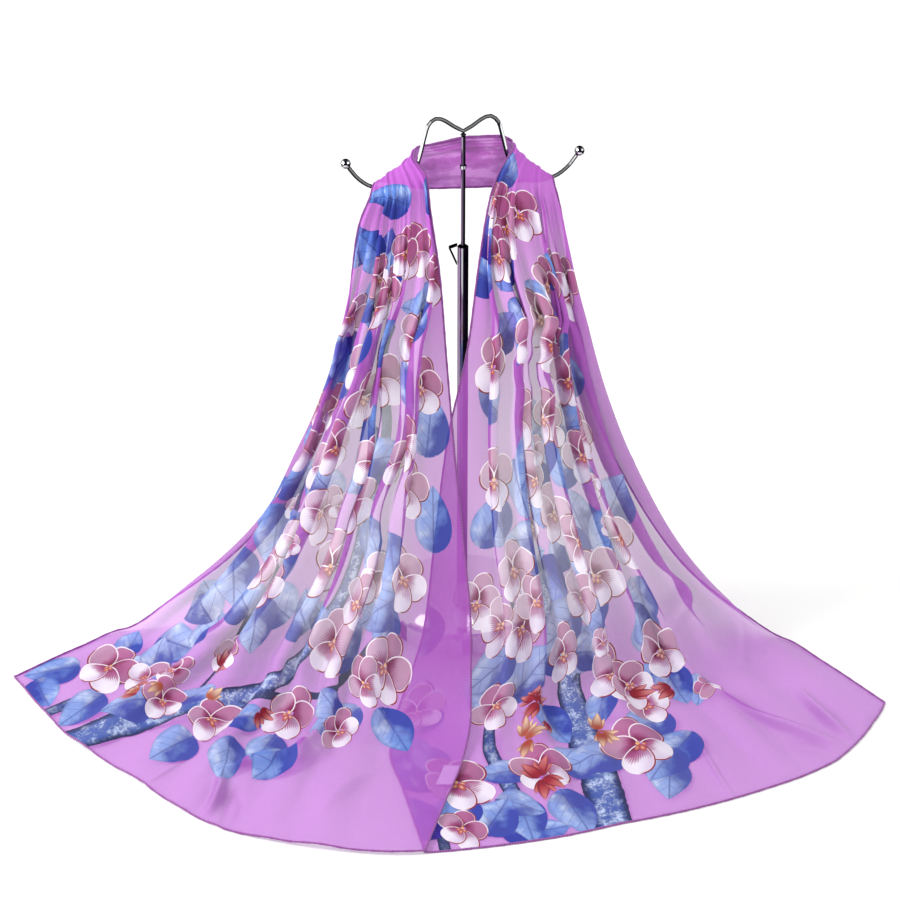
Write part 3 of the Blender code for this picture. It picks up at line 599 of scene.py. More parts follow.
RIGHT_BUDS = table(Leaf, """
    300 500 26 9 90 40, 300 500 25 8 40 50, 302 502 25 8 150 30, 310 505 27 8 320 50,
    335 525 20 7 300 40, 270 540 25 8 100 90, 270 545 25 8 160 90, 275 548 24 8 300 80,
    430 545 24 8 110 90, 430 548 26 8 240 90, 435 552 24 8 290 80, 255 600 27 9 130 40,
    260 600 25 9 70 50, 262 604 28 9 285 30, 262 604 25 8 235 40, 550 510 25 8 200 40,
    640 520 22 8 20 30, 640 522 22 8 340 40""")
LEFT_BRANCHES = (
    table(Twig, "780 700 17, 715 635 16, 640 570 15, 550 520 13, 440 475 10, 365 410 8, "
                "330 330 7, 330 250 5, 300 150 4"),
    table(Twig, "870 700 6, 840 630 6, 835 560 5, 870 500 3"),
    table(Twig, "560 525 6, 420 500 4, 300 480 4, 200 430 3"),
    table(Twig, "640 575 5, 660 500 4, 700 420 3, 740 300 3, 760 150 3"),
)
RIGHT_BRANCHES = (
    table(Twig, "320 710 18, 350 650 18, 385 580 17, 405 510 14, 385 455 12, 325 405 10, "
                "270 330 7, 260 230 5, 240 110 4"),
    table(Twig, "185 710 9, 195 620 8, 195 530 6, 215 460 5, 180 380 3"),
    table(Twig, "30 700 5, 50 640 5, 100 600 3"),
    table(Twig, "400 480 5, 480 420 4, 500 330 3, 520 200 3"),
)
# Where the print lies: at a station, from one share of the width to another.
Zone = namedtuple("Zone", "s low high")
LEFT_ZONE = table(Zone, """
    0 0 85, 100 0 100, 250 4 100, 450 13 100, 500 20 100, 550 33 100, 600 50 100, 680 68 100""")
RIGHT_ZONE = table(Zone, """
    0 0 55, 60 0 62, 120 0 95, 250 3 90, 320 6 80, 450 0 78, 550 0 74, 600 0 64, 690 0 42""")
# How deep the blue of the leaves is, by station: palest where the cloth hangs, which is a
# painted haze of light.
LEAF_TONES = ((0.00, 1.00), (0.20, 0.95), (0.30, 0.50), (0.44, 0.45), (0.52, 0.65), (0.70, 0.70))
BEHIND = 0.45                    # how far out a leaf behind a flower starts, in radii
ZONE_OVER = 0.04                 # how far past the print's outer edge its tip may be
# How many there are, and within what limits they are turned, long, wide and deep in tone.
BEHIND_COUNTS, BEHIND_TURN = (0, 0, 1, 1, 2), (-0.2, 0.2)
BEHIND_LENGTH, BEHIND_WIDTH, BEHIND_TONE = (44.0, 64.0), (0.33, 0.44), (-0.30, 0.20)


def leaves_behind(flowers, zone, outward, seed):
    """Up to two leaves that stick out from behind each flower, inside the print's zone."""
    chance = np.random.default_rng(seed)
    stations, *edges = zip(*zone)
    leaves = []
    for flower in flowers:
        first = chance.uniform(0.0, 360.0)
        count = int(chance.choice(BEHIND_COUNTS))
        for i in range(count):
            turn = first + (i + chance.uniform(*BEHIND_TURN)) * 360.0 / count
            length = chance.uniform(*BEHIND_LENGTH)
            width = length * chance.uniform(*BEHIND_WIDTH)
            tone = np.interp(flower.s, *zip(*LEAF_TONES)) + chance.uniform(*BEHIND_TONE)
            left, up = math.cos(math.radians(turn)), math.sin(math.radians(turn))
            foot = BEHIND * flower.radius / 1e3
            share = flower.share + outward * left * foot / CUT_WIDTH
            tip = flower.share + outward * left * (foot + length / 1e3) / CUT_WIDTH
            tip_s = flower.s - up * (foot + length / 1e3)
            low, high = (np.interp(tip_s, stations, edge) for edge in edges)
            if low <= tip <= high + ZONE_OVER:
                leaves.append(Leaf(share, flower.s - up * foot, length, width, turn,
                                   min(max(tone, 0.0), 1.0)))
    return tuple(leaves)


Print = namedtuple("Print", "flowers leaves buds branches")
LEFT_PRINT = Print(LEFT_FLOWERS, LEFT_LEAVES + leaves_behind(LEFT_FLOWERS, LEFT_ZONE, 1.0, 11),
                   LEFT_BUDS, LEFT_BRANCHES)
RIGHT_PRINT = Print(RIGHT_FLOWERS,
                    RIGHT_LEAVES + leaves_behind(RIGHT_FLOWERS, RIGHT_ZONE, -1.0, 12),
                    RIGHT_BUDS, RIGHT_BRANCHES)
PETAL_KIND, LEAF_KIND, BUD_KIND, LIP_KIND = 0, 1, 2, 3

# The petals of a flower: turn, length and half width next to its radius, and tone.
Petal = namedtuple("Petal", "turn length half tone")
PETALS = (
    Petal(94, 1.05, 0.46, 1.00), Petal(158, 1.02, 0.48, 0.85), Petal(24, 1.02, 0.48, 0.70),
    Petal(232, 0.98, 0.46, 0.05), Petal(306, 0.98, 0.46, 0.0),
)
LIPS = (
    Petal(205, 0.20, 0.06, 0.2), Petal(335, 0.20, 0.06, 0.2), Petal(270, 0.27, 0.08, 0.1),
    Petal(90, 0.13, 0.06, 1.0),
)
PETAL_SHY = 0.08                 # how much longer or shorter one petal is than another
SHY_WAVES = (3.1, 40.0, 23.0)    # by its number and its flower's place
PETAL_APART = 72.0               # the degrees from petal to petal
PETAL_FOOT, PETAL_SWELL = 0.8, 0.35     # how wide it is at its foot, and what its tip adds
LEAF_FULL, LEAF_FOOT, LEAF_TIP = 2.62, 0.55, 0.9   # a leaf's width, and how its ends taper
# How deep the colour of the upper petals is, by station: paler where the cloth hangs, which
# is a painted haze of light.
PETAL_TONES = ((0.00, 1.00), (0.24, 1.00), (0.33, 0.66), (0.44, 0.72), (0.52, 1.00), (0.70, 1.00))
TONE_LEAST, TONE_MORE = 0.76, 0.24      # a pale flower's depth, and what a deep one adds
LEAN_MORE = 1.5                  # how far flowers lean next to what their rows say
SIDEWAYS_MOST = 0.38             # and how much narrower one seen from its side may be
SCATTER = (71.3, 37.7)           # makes that differ from flower to flower
BUD_SLIM = 0.62                  # how wide a bud's points are next to its row
BUD_POINTS = ((-27, 0.80), (24, 0.72), (0, 1.0))    # how far each is turned, and its size
TONE_ROOM = 0.9                  # a motif's code is its kind plus this times its tone
# Shapes that point this way have their y turned round, so that +y is the upper left side.
FLIPPED = (45.0, 225.0)
Shape = namedtuple("Shape", "share s turn length half kind tone")
LAYERS = ("print_top", "print_middle", "print_low")
GRAIN = 0.0016                   # half of a face of the sheet, across its corners
PRINT_REACH = 0.004              # how far round a shape its faces are looked for
RAGGED = 1.03                    # how far out a petal's ragged edge reaches, in radii
BRANCH_STEPS = 8
FAR_OFF = 9.0                    # a place with no branch, in half widths of a branch
BARK_FROM, BARK_OVER = 0.0045, 0.0035   # the half width at which twigs turn into barky wood


def print_shapes(pattern):
    """Every leaf, petal, centre and bud of a print, the lowest first."""
    shapes = [
        Shape(leaf.share, leaf.s, leaf.turn, leaf.length / 1e3, leaf.width / 1e3, LEAF_KIND,
              leaf.tone)
        for leaf in pattern.leaves
    ]
    by_number, by_share, by_s = SHY_WAVES
    for flower in pattern.flowers:
        radius = flower.radius / 1e3
        lean = (flower.turn - 90) * LEAN_MORE
        narrow = 1 - np.dot(SCATTER, (flower.share, flower.s)) % SIDEWAYS_MOST
        depth = TONE_LEAST + TONE_MORE * flower.tone
        depth = np.interp(flower.s, *zip(*PETAL_TONES)) * depth
        for i, petal in enumerate(PETALS):
            wave = by_number * i + by_share * flower.share + by_s * flower.s
            shy = 1 + PETAL_SHY * math.sin(wave)
            turn = math.radians(petal.turn + lean + PETAL_APART * (shy - 1))
            left, up = narrow * math.cos(turn), math.sin(turn)
            seen = math.hypot(left, up)
            across = math.hypot(narrow * math.sin(turn), math.cos(turn))
            shapes.append(Shape(flower.share, flower.s, math.degrees(math.atan2(up, left)),
                                petal.length * radius * shy * seen,
                                petal.half * radius * across, PETAL_KIND,
                                petal.tone * depth))
        for lip in LIPS:
            shapes.append(Shape(flower.share, flower.s, lip.turn + lean, lip.length * radius,
                                lip.half * radius, LIP_KIND, lip.tone))
    shapes += [
        Shape(bud.share, bud.s, bud.turn + aside, size * bud.length / 1e3,
              BUD_SLIM * size * bud.width / 1e3, BUD_KIND, bud.tone)
        for bud in pattern.buds for aside, size in BUD_POINTS
    ]
    return shapes


def leaf_profile(x):
    x = np.clip(x, 0.0, 1.0)
    return LEAF_FULL * x ** LEAF_FOOT * (1 - x) ** LEAF_TIP


def motif_place(shape, outward, share, s, arc):
    """Where a place on the cloth is in the length and the half width of a shape."""
    turn = math.radians(shape.turn)
    up_left = -1.0 if FLIPPED[0] < shape.turn % 360.0 < FLIPPED[1] else 1.0
    dx = (share - shape.share) * arc * outward
    dy = shape.s - s
    x = dx * math.cos(turn) + dy * math.sin(turn)
    y = dy * math.cos(turn) - dx * math.sin(turn)
    return x / shape.length, up_left * y / shape.half


def reaches(shape, x, y):
    """Whether a shape reaches a face whose middle is at this place in it."""
    if shape.kind in (LEAF_KIND, BUD_KIND):
        inside = abs(y) < leaf_profile(x) + GRAIN / shape.half
        return inside & (x > -GRAIN / shape.length) & (x < 1 + GRAIN / shape.length)
    swell = PETAL_FOOT + PETAL_SWELL * np.clip(x, 0, 1)
    return np.hypot((x - 0.5) / 0.5, y / swell) < RAGGED + GRAIN / shape.half


def add_motifs(mesh, quads, share, s, arc_at, outward, shapes):
    """Each face gets the three topmost shapes over it, as places in the shape's own length
    and width at its corners, so that their outlines stay crisp in the shader."""
    share_mid, s_mid = share[quads].mean(axis=1), s[quads].mean(axis=1)
    arc, arc_mid = arc_at(s), arc_at(s_mid)
    layers = np.zeros((len(LAYERS), len(quads), 4, 3), dtype=np.float32)
    layers[..., 2] = -1.0
    for shape in shapes:
        reach = max(shape.length, shape.half) + PRINT_REACH
        near = np.flatnonzero(
            (abs(share_mid - shape.share) * arc_mid < reach) & (abs(s_mid - shape.s) < reach))
        x, y = motif_place(shape, outward, share_mid[near], s_mid[near], arc_mid[near])
        faces = near[reaches(shape, x, y)]
        corners = quads[faces]
        x, y = motif_place(shape, outward, share[corners], s[corners], arc[corners])
        layers[1:, faces] = layers[:-1, faces]
        code = shape.kind + shape.tone * TONE_ROOM
        layers[0, faces] = np.stack((x, y, np.full_like(x, code)), -1)
    for name, layer in zip(LAYERS, layers):
        made = mesh.attributes.new(name, "FLOAT_VECTOR", "CORNER")
        made.data.foreach_set("vector", layer.ravel())


def add_branches(mesh, share, s, arc_at, branches):
    """Each vertex gets its distance from the nearest branch, in half widths of the branch,
    and how barky that branch is."""
    nearest, bark = np.full(len(share), FAR_OFF), np.zeros(len(share))
    for branch in branches:
        path = smooth_path([(t.share, t.s, t.half / 1e3) for t in branch], BRANCH_STEPS)
        for a, b in zip(path[:-1], path[1:]):
            scale = np.array((arc_at((a[1] + b[1]) / 2), 1.0))
            start, end = a[:2] * scale, b[:2] * scale
            at = np.stack((share, s), axis=1) * scale
            step = end - start
            along = np.clip(((at - start) @ step) / (step @ step), 0.0, 1.0)
            gap = np.linalg.norm(at - (start + along[:, None] * step), axis=1)
            gap = gap / (a[2] + (b[2] - a[2]) * along)
            closer = gap < nearest
            nearest[closer] = gap[closer]
            bark[closer] = np.clip((a[2] - BARK_FROM) / BARK_OVER, 0.0, 1.0)
    add_vectors(mesh, "branch", nearest, bark)


def smooth_path(points, count):
    """A smooth curve through the points, count steps for each stretch."""
    p = np.array(points, dtype=float)
    p = np.vstack((2 * p[0] - p[1], p, 2 * p[-1] - p[-2]))
    fine = []
    for a, b, c, d in zip(p[:-3], p[1:-2], p[2:-1], p[3:]):
        for t in np.linspace(0.0, 1.0, count, endpoint=False):
            fine.append(0.5 * (2 * b + (c - a) * t + (2 * a - 5 * b + 4 * c - d) * t * t
                               + (3 * b - a - 3 * c + d) * t ** 3))
    return fine + [p[-2]]


# ---------------------------------------------------------------- materials

# A pane is a patch of painted reflection on plated metal.
PANE_EDGE = 0.07                 # how soft a pane's border is
# The right leg of the hanger, from x to x, and how soft its borders are; there the painted
# reflections are turned to its own side.
RIGHT_LEG = (0.030, 0.056, 0.004)
# The pitches of the chiffon's threads, the label's threads and the hem's stitches, and how
# deep threads and stitches are, in metres.
WARP, WEFT, LABEL_THREAD, STITCH = 0.00045, 0.00055, 0.0005, 0.0024
THREAD_DEEP, STITCH_DEEP = 0.0002, 0.0003
CLOTH = {"roughness": 0.6, "sheen": 0.05, "specular": 0.25}


def operator(name):
    """A method that makes a math node of its values."""
    return lambda *values: values[0].owner.math(name, *values)


class Value:
    """A number or colour in a node tree. Sums, products and so on of values make its nodes."""

    __add__, __sub__, __mul__, __truediv__, __lt__, __gt__, __abs__ = map(operator, (
        "ADD", "SUBTRACT", "MULTIPLY", "DIVIDE", "LESS_THAN", "GREATER_THAN", "ABSOLUTE"))

    def __init__(self, owner, socket):
        self.owner = owner
        self.socket = socket

    def __rsub__(self, other):
        return self.owner.math("SUBTRACT", other, self)

    def beside(self, key):
        """Another output of the same node."""
        return Value(self.owner, self.socket.node.outputs[key])


class Tree:
    """Writes the nodes of a group."""

    def __init__(self, tree):
        self.tree = tree

    def put(self, socket, value):
        if isinstance(value, Value):
            self.tree.links.new(value.socket, socket)
        else:
            socket.default_value = (*value, 1.0) if socket.type == "RGBA" else value

    def node(self, kind, inputs=(), output=0, **settings):
        made = self.tree.nodes.new("ShaderNode" + kind)
        for key, value in settings.items():
            setattr(made, key, value)
        for key, value in dict(inputs).items():
            self.put(made.inputs[key], value)
        return Value(self, made.outputs[output])

    def attribute(self, name, output="Vector"):
        return self.node("Attribute", output=output, attribute_name=name)

    def math(self, operation, *values):
        return self.node("Math", enumerate(values), operation=operation)

    def step(self, low, high, value):
        return self.node("MapRange", {0: value, 1: low, 2: high}, clamp=True,
                         interpolation_type="SMOOTHSTEP")

    def within(self, low, high, edge, value):
        return self.step(low, low + edge, value) * self.step(high, high - edge, value)

    def mix(self, factor, low, high):
        return self.node("Mix", {0: factor, 6: low, 7: high}, 2, data_type="RGBA")

    def split(self, vector):
        x = self.node("SeparateXYZ", {0: vector})
        return x, x.beside(1), x.beside(2)

    def noise(self, vector, scale, detail=2.0, roughness=0.5):
        """Noise of a scale, or of one scale for each axis."""
        if isinstance(scale, tuple):
            vector = self.node("VectorMath", {0: vector, 1: scale}, operation="MULTIPLY")
            scale = 1.0
        return self.node("TexNoise", {"Vector": vector, "Scale": scale, "Detail": detail,
                                      "Roughness": roughness})

    def threads(self, along, pitch):
        return self.math("SINE", along * (2 * math.pi / pitch))


class Surface(Tree):
    """Writes the nodes of a new material."""

    SOCKETS = {"colour": "Base Color", "roughness": "Roughness", "metallic": "Metallic",
               "alpha": "Alpha", "sheen": "Sheen Weight", "specular": "Specular IOR Level",
               "edge": "Specular Tint", "normal": "Normal"}

    def __init__(self, name):
        self.material = bpy.data.materials.new(name)
        self.material.use_nodes = True
        super().__init__(self.material.node_tree)

    def finish(self, **values):
        surface = self.tree.nodes["Principled BSDF"]
        for key, value in values.items():
            self.put(surface.inputs[self.SOCKETS[key]], value)
        return self.material

    def bump(self, height, strength, distance):
        self.finish(normal=self.node("Bump", {"Height": height, "Strength": strength,
                                              "Distance": distance}))


def disc_radius(s, x, y):
    """How far a place is from the middle of a motif's length, next to half that length."""
    place = s.node("CombineXYZ", {0: x * 2.0 - 1.0, 1: y})
    return s.node("VectorMath", {0: place}, 1, operation="LENGTH")


def petal_paint(s, x, y, tone, speckle):
    """A petal: a streaked flush from its base and a shaded lower right side, with a rim that
    is cream towards the light and wine away from it."""
    radial = disc_radius(s, x, y / (x * PETAL_SWELL + PETAL_FOOT)) - 0.05 + speckle * 0.10
    inner = s.mix(s.step(0.0, 0.85, tone), (0.84, 0.77, 0.90), (0.40, 0.085, 0.25))
    streaks = s.math("SINE", y / (x + 0.15) * 26.0)
    flush = streaks * 0.06 + (0.30 - speckle * 0.6) + (0.47 - x)
    body = s.mix(s.step(-0.12, 0.16, flush), inner, (0.38, 0.08, 0.24))
    body = s.mix(s.step(0.10, 0.52, flush + tone * 0.20), body, (0.15, 0.006, 0.045))
    shadow = s.mix(tone, (0.50, 0.34, 0.58), (0.21, 0.025, 0.13))
    body = s.mix(s.step(0.20, -0.85, y) * 0.55, body, shadow)
    lit = s.step(-0.35, 0.05, y)
    line = s.step(0.845, 0.865, radial) * (1.0 - lit)
    body = s.mix(line * 0.7, body, (0.85, 0.62, 0.68))
    rim = s.mix(lit, (0.22, 0.015, 0.03), (0.90, 0.78, 0.86))
    return s.mix(s.step(0.905, 0.925, radial), body, rim), radial < 1.0


def leaf_shape(s, x, y):
    """How far across a pointed leaf a place is, 1 at its edge, and whether it is in it."""
    inside = s.node("Clamp", {"Value": x, "Min": 0.001, "Max": 0.999})
    profile = s.math("POWER", inside, LEAF_FOOT) * s.math("POWER", 1.0 - inside, LEAF_TIP)
    across = abs(y) / (profile * LEAF_FULL)
    return across, (across < 1.0) * (abs(x - 0.5) < 0.5)


def leaf_paint(s, x, y, tone, speckle):
    """A leaf: deep at its foot and on its shaded half, with a pale bloom and dark veins."""
    across, cover = leaf_shape(s, x, y)
    violet = s.step(0.80, 1.0, tone)
    pale = s.mix(violet, s.mix(tone, (0.34, 0.42, 0.68), (0.06, 0.20, 0.70)), (0.11, 0.10, 0.52))
    deep = s.mix(violet, s.mix(tone, (0.09, 0.10, 0.34), (0.01, 0.03, 0.32)), (0.03, 0.010, 0.26))
    shade = speckle * 1.1 + 0.25 - y * 0.38 - x * 0.55
    body = s.mix(s.step(0.28, 0.80, shade), pale, deep)
    bloom = s.step(0.42, 0.75, speckle) * s.step(-0.2, 0.5, y)
    lit = s.mix(tone, (0.68, 0.73, 0.86), (0.46, 0.62, 0.95))
    body = s.mix(bloom * 0.90, body, lit)
    body = s.mix(s.step(0.72, 1.0, across) * 0.55, body, deep)
    vein = abs(s.math("FRACT", x * 5.0 - abs(y) * 1.6) - 0.5)
    vein = (vein < 0.030) * s.step(0.95, 0.6, across)
    rib = s.step(0.055, 0.02, abs(y))
    return s.mix(s.math("MAXIMUM", vein, rib) * 0.65, body, (0.04, 0.05, 0.25)), cover


def bud_paint(s, x, y, tone):
    """A small pointed bud, from wine at its foot to red or cream at its tip."""
    across, cover = leaf_shape(s, x, y)
    creamy = s.step(0.7, 0.85, tone)
    foot = s.mix(creamy, (0.25, 0.006, 0.02), (0.34, 0.05, 0.02))
    tip = s.mix(creamy, (0.60, 0.12, 0.12), (0.78, 0.52, 0.30))
    edge = s.mix(creamy, (0.16, 0.005, 0.02), (0.34, 0.07, 0.03))
    body = s.mix(s.step(0.2, 0.9, x), foot, tip)
    return s.mix(s.step(0.45, 0.90, across) * 0.85, body, edge), cover


def lip_paint(s, x, y, tone):
    """The small orange and yellow parts at a flower's centre."""
    radial = disc_radius(s, x, y)
    body = s.mix(tone, (0.42, 0.04, 0.05), (0.80, 0.42, 0.16))
    body = s.mix(s.step(0.10, 0.50, radial), (0.85, 0.42, 0.24), body)
    body = s.mix(s.step(0.78, 0.95, radial), body, (0.24, 0.01, 0.05))
    return body, radial < 1.0


def motif_group():
    """A node group that paints one layer of the print: its colour and where it covers."""
    group = bpy.data.node_groups.new("motif", "ShaderNodeTree")
    for name, kind, way in (("Place", "NodeSocketVector", "INPUT"),
                            ("Speckle", "NodeSocketFloat", "INPUT"),
                            ("Colour", "NodeSocketColor", "OUTPUT"),
                            ("Cover", "NodeSocketFloat", "OUTPUT")):
        group.interface.new_socket(name, in_out=way, socket_type=kind)
    s = Tree(group)
    place = Value(s, group.nodes.new("NodeGroupInput").outputs["Place"])
    speckle = place.beside("Speckle")
    x, y, code = s.split(place)
    kind = s.math("FLOOR", code)
    tone = (code - kind) * (1.0 / TONE_ROOM)
    colour, cover = petal_paint(s, x, y, tone, speckle)
    others = ((LEAF_KIND, leaf_paint(s, x, y, tone, speckle)),
              (BUD_KIND, bud_paint(s, x, y, tone)), (LIP_KIND, lip_paint(s, x, y, tone)))
    for number, (other, other_cover) in others:
        chosen = s.math("COMPARE", kind, float(number), 0.1)
        colour = s.mix(chosen, colour, other)
        cover = cover * (1.0 - chosen) + other_cover * chosen
    leave = group.nodes.new("NodeGroupOutput")
    s.put(leave.inputs["Colour"], colour)
    s.put(leave.inputs["Cover"], cover * (code > -0.5))
    return group


def branch_paint(s, ground, place):
    """Dark twigs, and a thick branch with pale mottled bark."""
    gap, bark, _ = s.split(s.attribute("branch"))
    gap = gap - 0.17 + s.noise(place, 60.0, 4.0, 0.6) * 0.35
    mottle = s.noise(place, 330.0, 4.0, 0.7) + s.noise(place, 70.0, 3.0)
    middle = s.step(0.94, 0.40, gap)
    skin = s.mix(middle, (0.010, 0.014, 0.075), (0.040, 0.085, 0.36))
    skin = s.mix(s.step(0.94, 1.24, mottle) * middle, skin, (0.46, 0.60, 0.95))
    wood = s.mix(bark, (0.016, 0.020, 0.085), skin)
    return s.mix(gap < 1.0, ground, wood)


def nape_paint(s, place, across, colour):
    """The bunched nape: blotches of painted light and shade, and dark crumple lines of painted
    shade towards its inner edge.
    """
    colour = s.mix(s.step(0.45, 0.15, across), colour, (0.50, 0.07, 0.54))
    # Painted light and shade of the bunched cloth, in dark and pale blotches.
    blotch_light_and_shade = s.noise(place, (9.0, 34.0, 0.0), 4.0, 0.55)
    colour = s.mix(s.step(0.52, 0.62, blotch_light_and_shade) * 0.70, colour, (0.30, 0.02, 0.33))
    colour = s.mix(s.step(0.52, 0.40, blotch_light_and_shade) * 0.85, colour, (0.74, 0.28, 0.80))
    # Painted shade in the crumple lines.
    crumple = s.step(0.44, 0.66, s.noise(place, (36.0, 9.0, 0.0), 3.0))
    return s.mix(crumple * s.step(0.30, 0.06, across), colour, (0.19, 0.010, 0.22))


def print_paint(s, place, colour):
    """The three layers of the print. Returns the colour and where any of them covers."""
    speckle = s.noise(place, 55.0)
    group = motif_group()
    covered = 0.0
    for layer in reversed(LAYERS):
        inputs = {"Place": s.attribute(layer), "Speckle": speckle}
        motif = s.node("Group", inputs, "Colour", node_tree=group)
        cover = motif.beside("Cover")
        covered = s.math("MAXIMUM", covered, cover)
        colour = s.mix(cover, colour, motif)
    return colour, covered


def cloth_material(name, printed):
    """Sheer chiffon: a crepe weave, a cloudy ground with painted shade where it hangs and
    along its creases, and, on the falls, the print.
    """
    s = Surface(name)
    place = s.attribute("cloth")
    across, along, _ = s.split(place)
    crepe = s.noise(place, 900.0)
    s.bump(s.threads(across, WARP) * s.threads(along, WEFT) + crepe, 0.25, THREAD_DEEP)
    # The ground is painted by station to stand in for light: darker where the cloth hangs, a
    # painted shade of its folds and layers, than where it lies on the floor and at the shoulder.
    lying = s.step(0.38, 0.52, along)
    upper = s.step(0.26, 0.05, along)
    ground = s.mix(lying, (0.37, 0.060, 0.45), (0.49, 0.12, 0.62))
    ground = s.mix(upper, ground, (0.50, 0.10, 0.57))
    colour = s.mix(s.noise(place, 9.0, 3.0) * 0.35, ground, (0.60, 0.22, 0.70))
    colour = s.mix(s.step(0.40, 0.65, crepe) * 0.12, colour, (0.25, 0.05, 0.30))
    sheer = s.step(0.10, 0.03, along) * 0.10 + 0.60 + upper * 0.24
    if not printed:
        return s.finish(colour=nape_paint(s, place, across, colour), alpha=sheer, **CLOTH)
    # Painted shade along the creases: the cloth is darker where it slants, and less sheer there as
    # it is denser.
    density_and_crease_shade = s.step(0.10, 1.50, s.attribute("slant", "Fac")) * 0.55
    colour = s.mix(density_and_crease_shade, colour, (0.27, 0.04, 0.36))
    colour, covered = print_paint(s, place, branch_paint(s, colour, place))
    dark = s.step(0.22, 0.03, s.node("RGBToBW", {0: colour}))
    margin = s.step(0.080, 0.030, across) * (1.0 - lying)
    sheer = sheer + margin * 0.12 + covered * 0.12 + density_and_crease_shade * 0.16
    return s.finish(colour=colour, alpha=sheer + dark * (lying * 0.24 + 0.13), **CLOTH)


def hem_material():
    s = Surface("rolled_hem")
    stitch = s.threads(s.split(s.attribute("cloth"))[1], STITCH)
    s.bump(stitch, 0.5, STITCH_DEEP)
    # The colour follows the stitches: lighter on their tops and darker between them, a painted
    # shade of their relief.
    colour = s.mix(s.step(0.2, 0.9, stitch), (0.20, 0.03, 0.22), (0.34, 0.08, 0.38))
    return s.finish(colour=colour, roughness=0.6, sheen=0.3)


def metal_material(metal):
    """Plated metal whose reflections are painted into its colour by the way its normals face.
    Each painted reflection is a patch of its normals, from x to x and from z to z, and how
    strongly it is painted. Normals that look left get a painted reflection of the cloth. The
    right leg of the hanger has its painted reflections turned to its own side."""
    s = Surface(metal.name)
    place = s.node("TexCoord", output="Object")
    x, y, z = s.split(s.node("NewGeometry", output="Normal"))
    # Painted reflection of the cloth: normals that look left take the side colour.
    shade = s.mix(s.step(0.62, 0.72, y * -0.30 - x * 0.92), metal.dark, metal.side)
    # On the hanger's right leg x is turned round, so that its painted reflections fall on its own
    # side.
    leg = s.within(*RIGHT_LEG, s.split(place)[0])
    x = x * (1.0 - leg * 2.0)
    # Painted highlights, and on the base dark painted reflections: each patch of normals takes the
    # light colour.
    for x_from, x_to, z_from, z_to, painted_strength in metal.panes:
        patch = s.within(x_from, x_to, PANE_EDGE, x) * s.within(z_from, z_to, PANE_EDGE, z)
        shade = s.mix(patch * painted_strength, shade, metal.light)
    wear = s.noise(place, 60.0, 3.0)
    worn = s.node("MapRange", {0: wear, 3: metal.roughness * 0.7, 4: metal.roughness * 1.5})
    return s.finish(colour=shade, roughness=worn, metallic=metal.metallic, edge=metal.dark)


def label_material():
    s = Surface("label_satin")
    place = s.node("TexCoord", output="Object")
    x, y, _ = s.split(place)
    s.bump(s.threads(x, LABEL_THREAD) * s.threads(y, LABEL_THREAD), 0.2, THREAD_DEEP)
    colour = s.mix(s.noise(place, 200.0), (0.86, 0.80, 0.90), (0.93, 0.88, 0.95))
    return s.finish(colour=colour, roughness=0.5)


# ---------------------------------------------------------------- build

HEM_RADIUS, HEM_SIDES = 0.0009, 6
HEM_THICKEST = 1.25                         # and so how high its middle stays, in radii

PRINTED = cloth_material("printed_chiffon", True)
PLAIN = cloth_material("plain_chiffon", False)
HEM = hem_material()

left, left_points = fall_sheet("left_cloth", LEFT, LEFT_PRINT, PRINTED)
right, right_points = fall_sheet("right_cloth", RIGHT, RIGHT_PRINT, PRINTED)
band, band_points = band_sheet("neck_cloth", PLAIN)


def add_hem(name, path):
    return add_object(name, tube_mesh(name, path, HEM_RADIUS, HEM_SIDES), HEM)


def fall_hem(name, points):
    path = np.array([*points[:, 0], *points[-1, 1:], *points[-2::-1, -1]])
    path[:, 2] = np.maximum(path[:, 2], HEM_THICKEST * HEM_RADIUS)
    return add_hem(name, path)


left_hem = fall_hem("left_rolled_hem", left_points)
right_hem = fall_hem("right_rolled_hem", right_points)
band_hems = [add_hem("neck_hem_inner", band_points[:, 0]),
             add_hem("neck_hem_outer", band_points[:, -1])]

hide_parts("left_fall")
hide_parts("right_fall")
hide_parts("neck_band")

# The painted highlight of the tubes and the rod: a bright stripe down their left side.
TUBE_PAINTED_HIGHLIGHT = ((-0.38, -0.12, -0.6, 0.6, 1.0),)
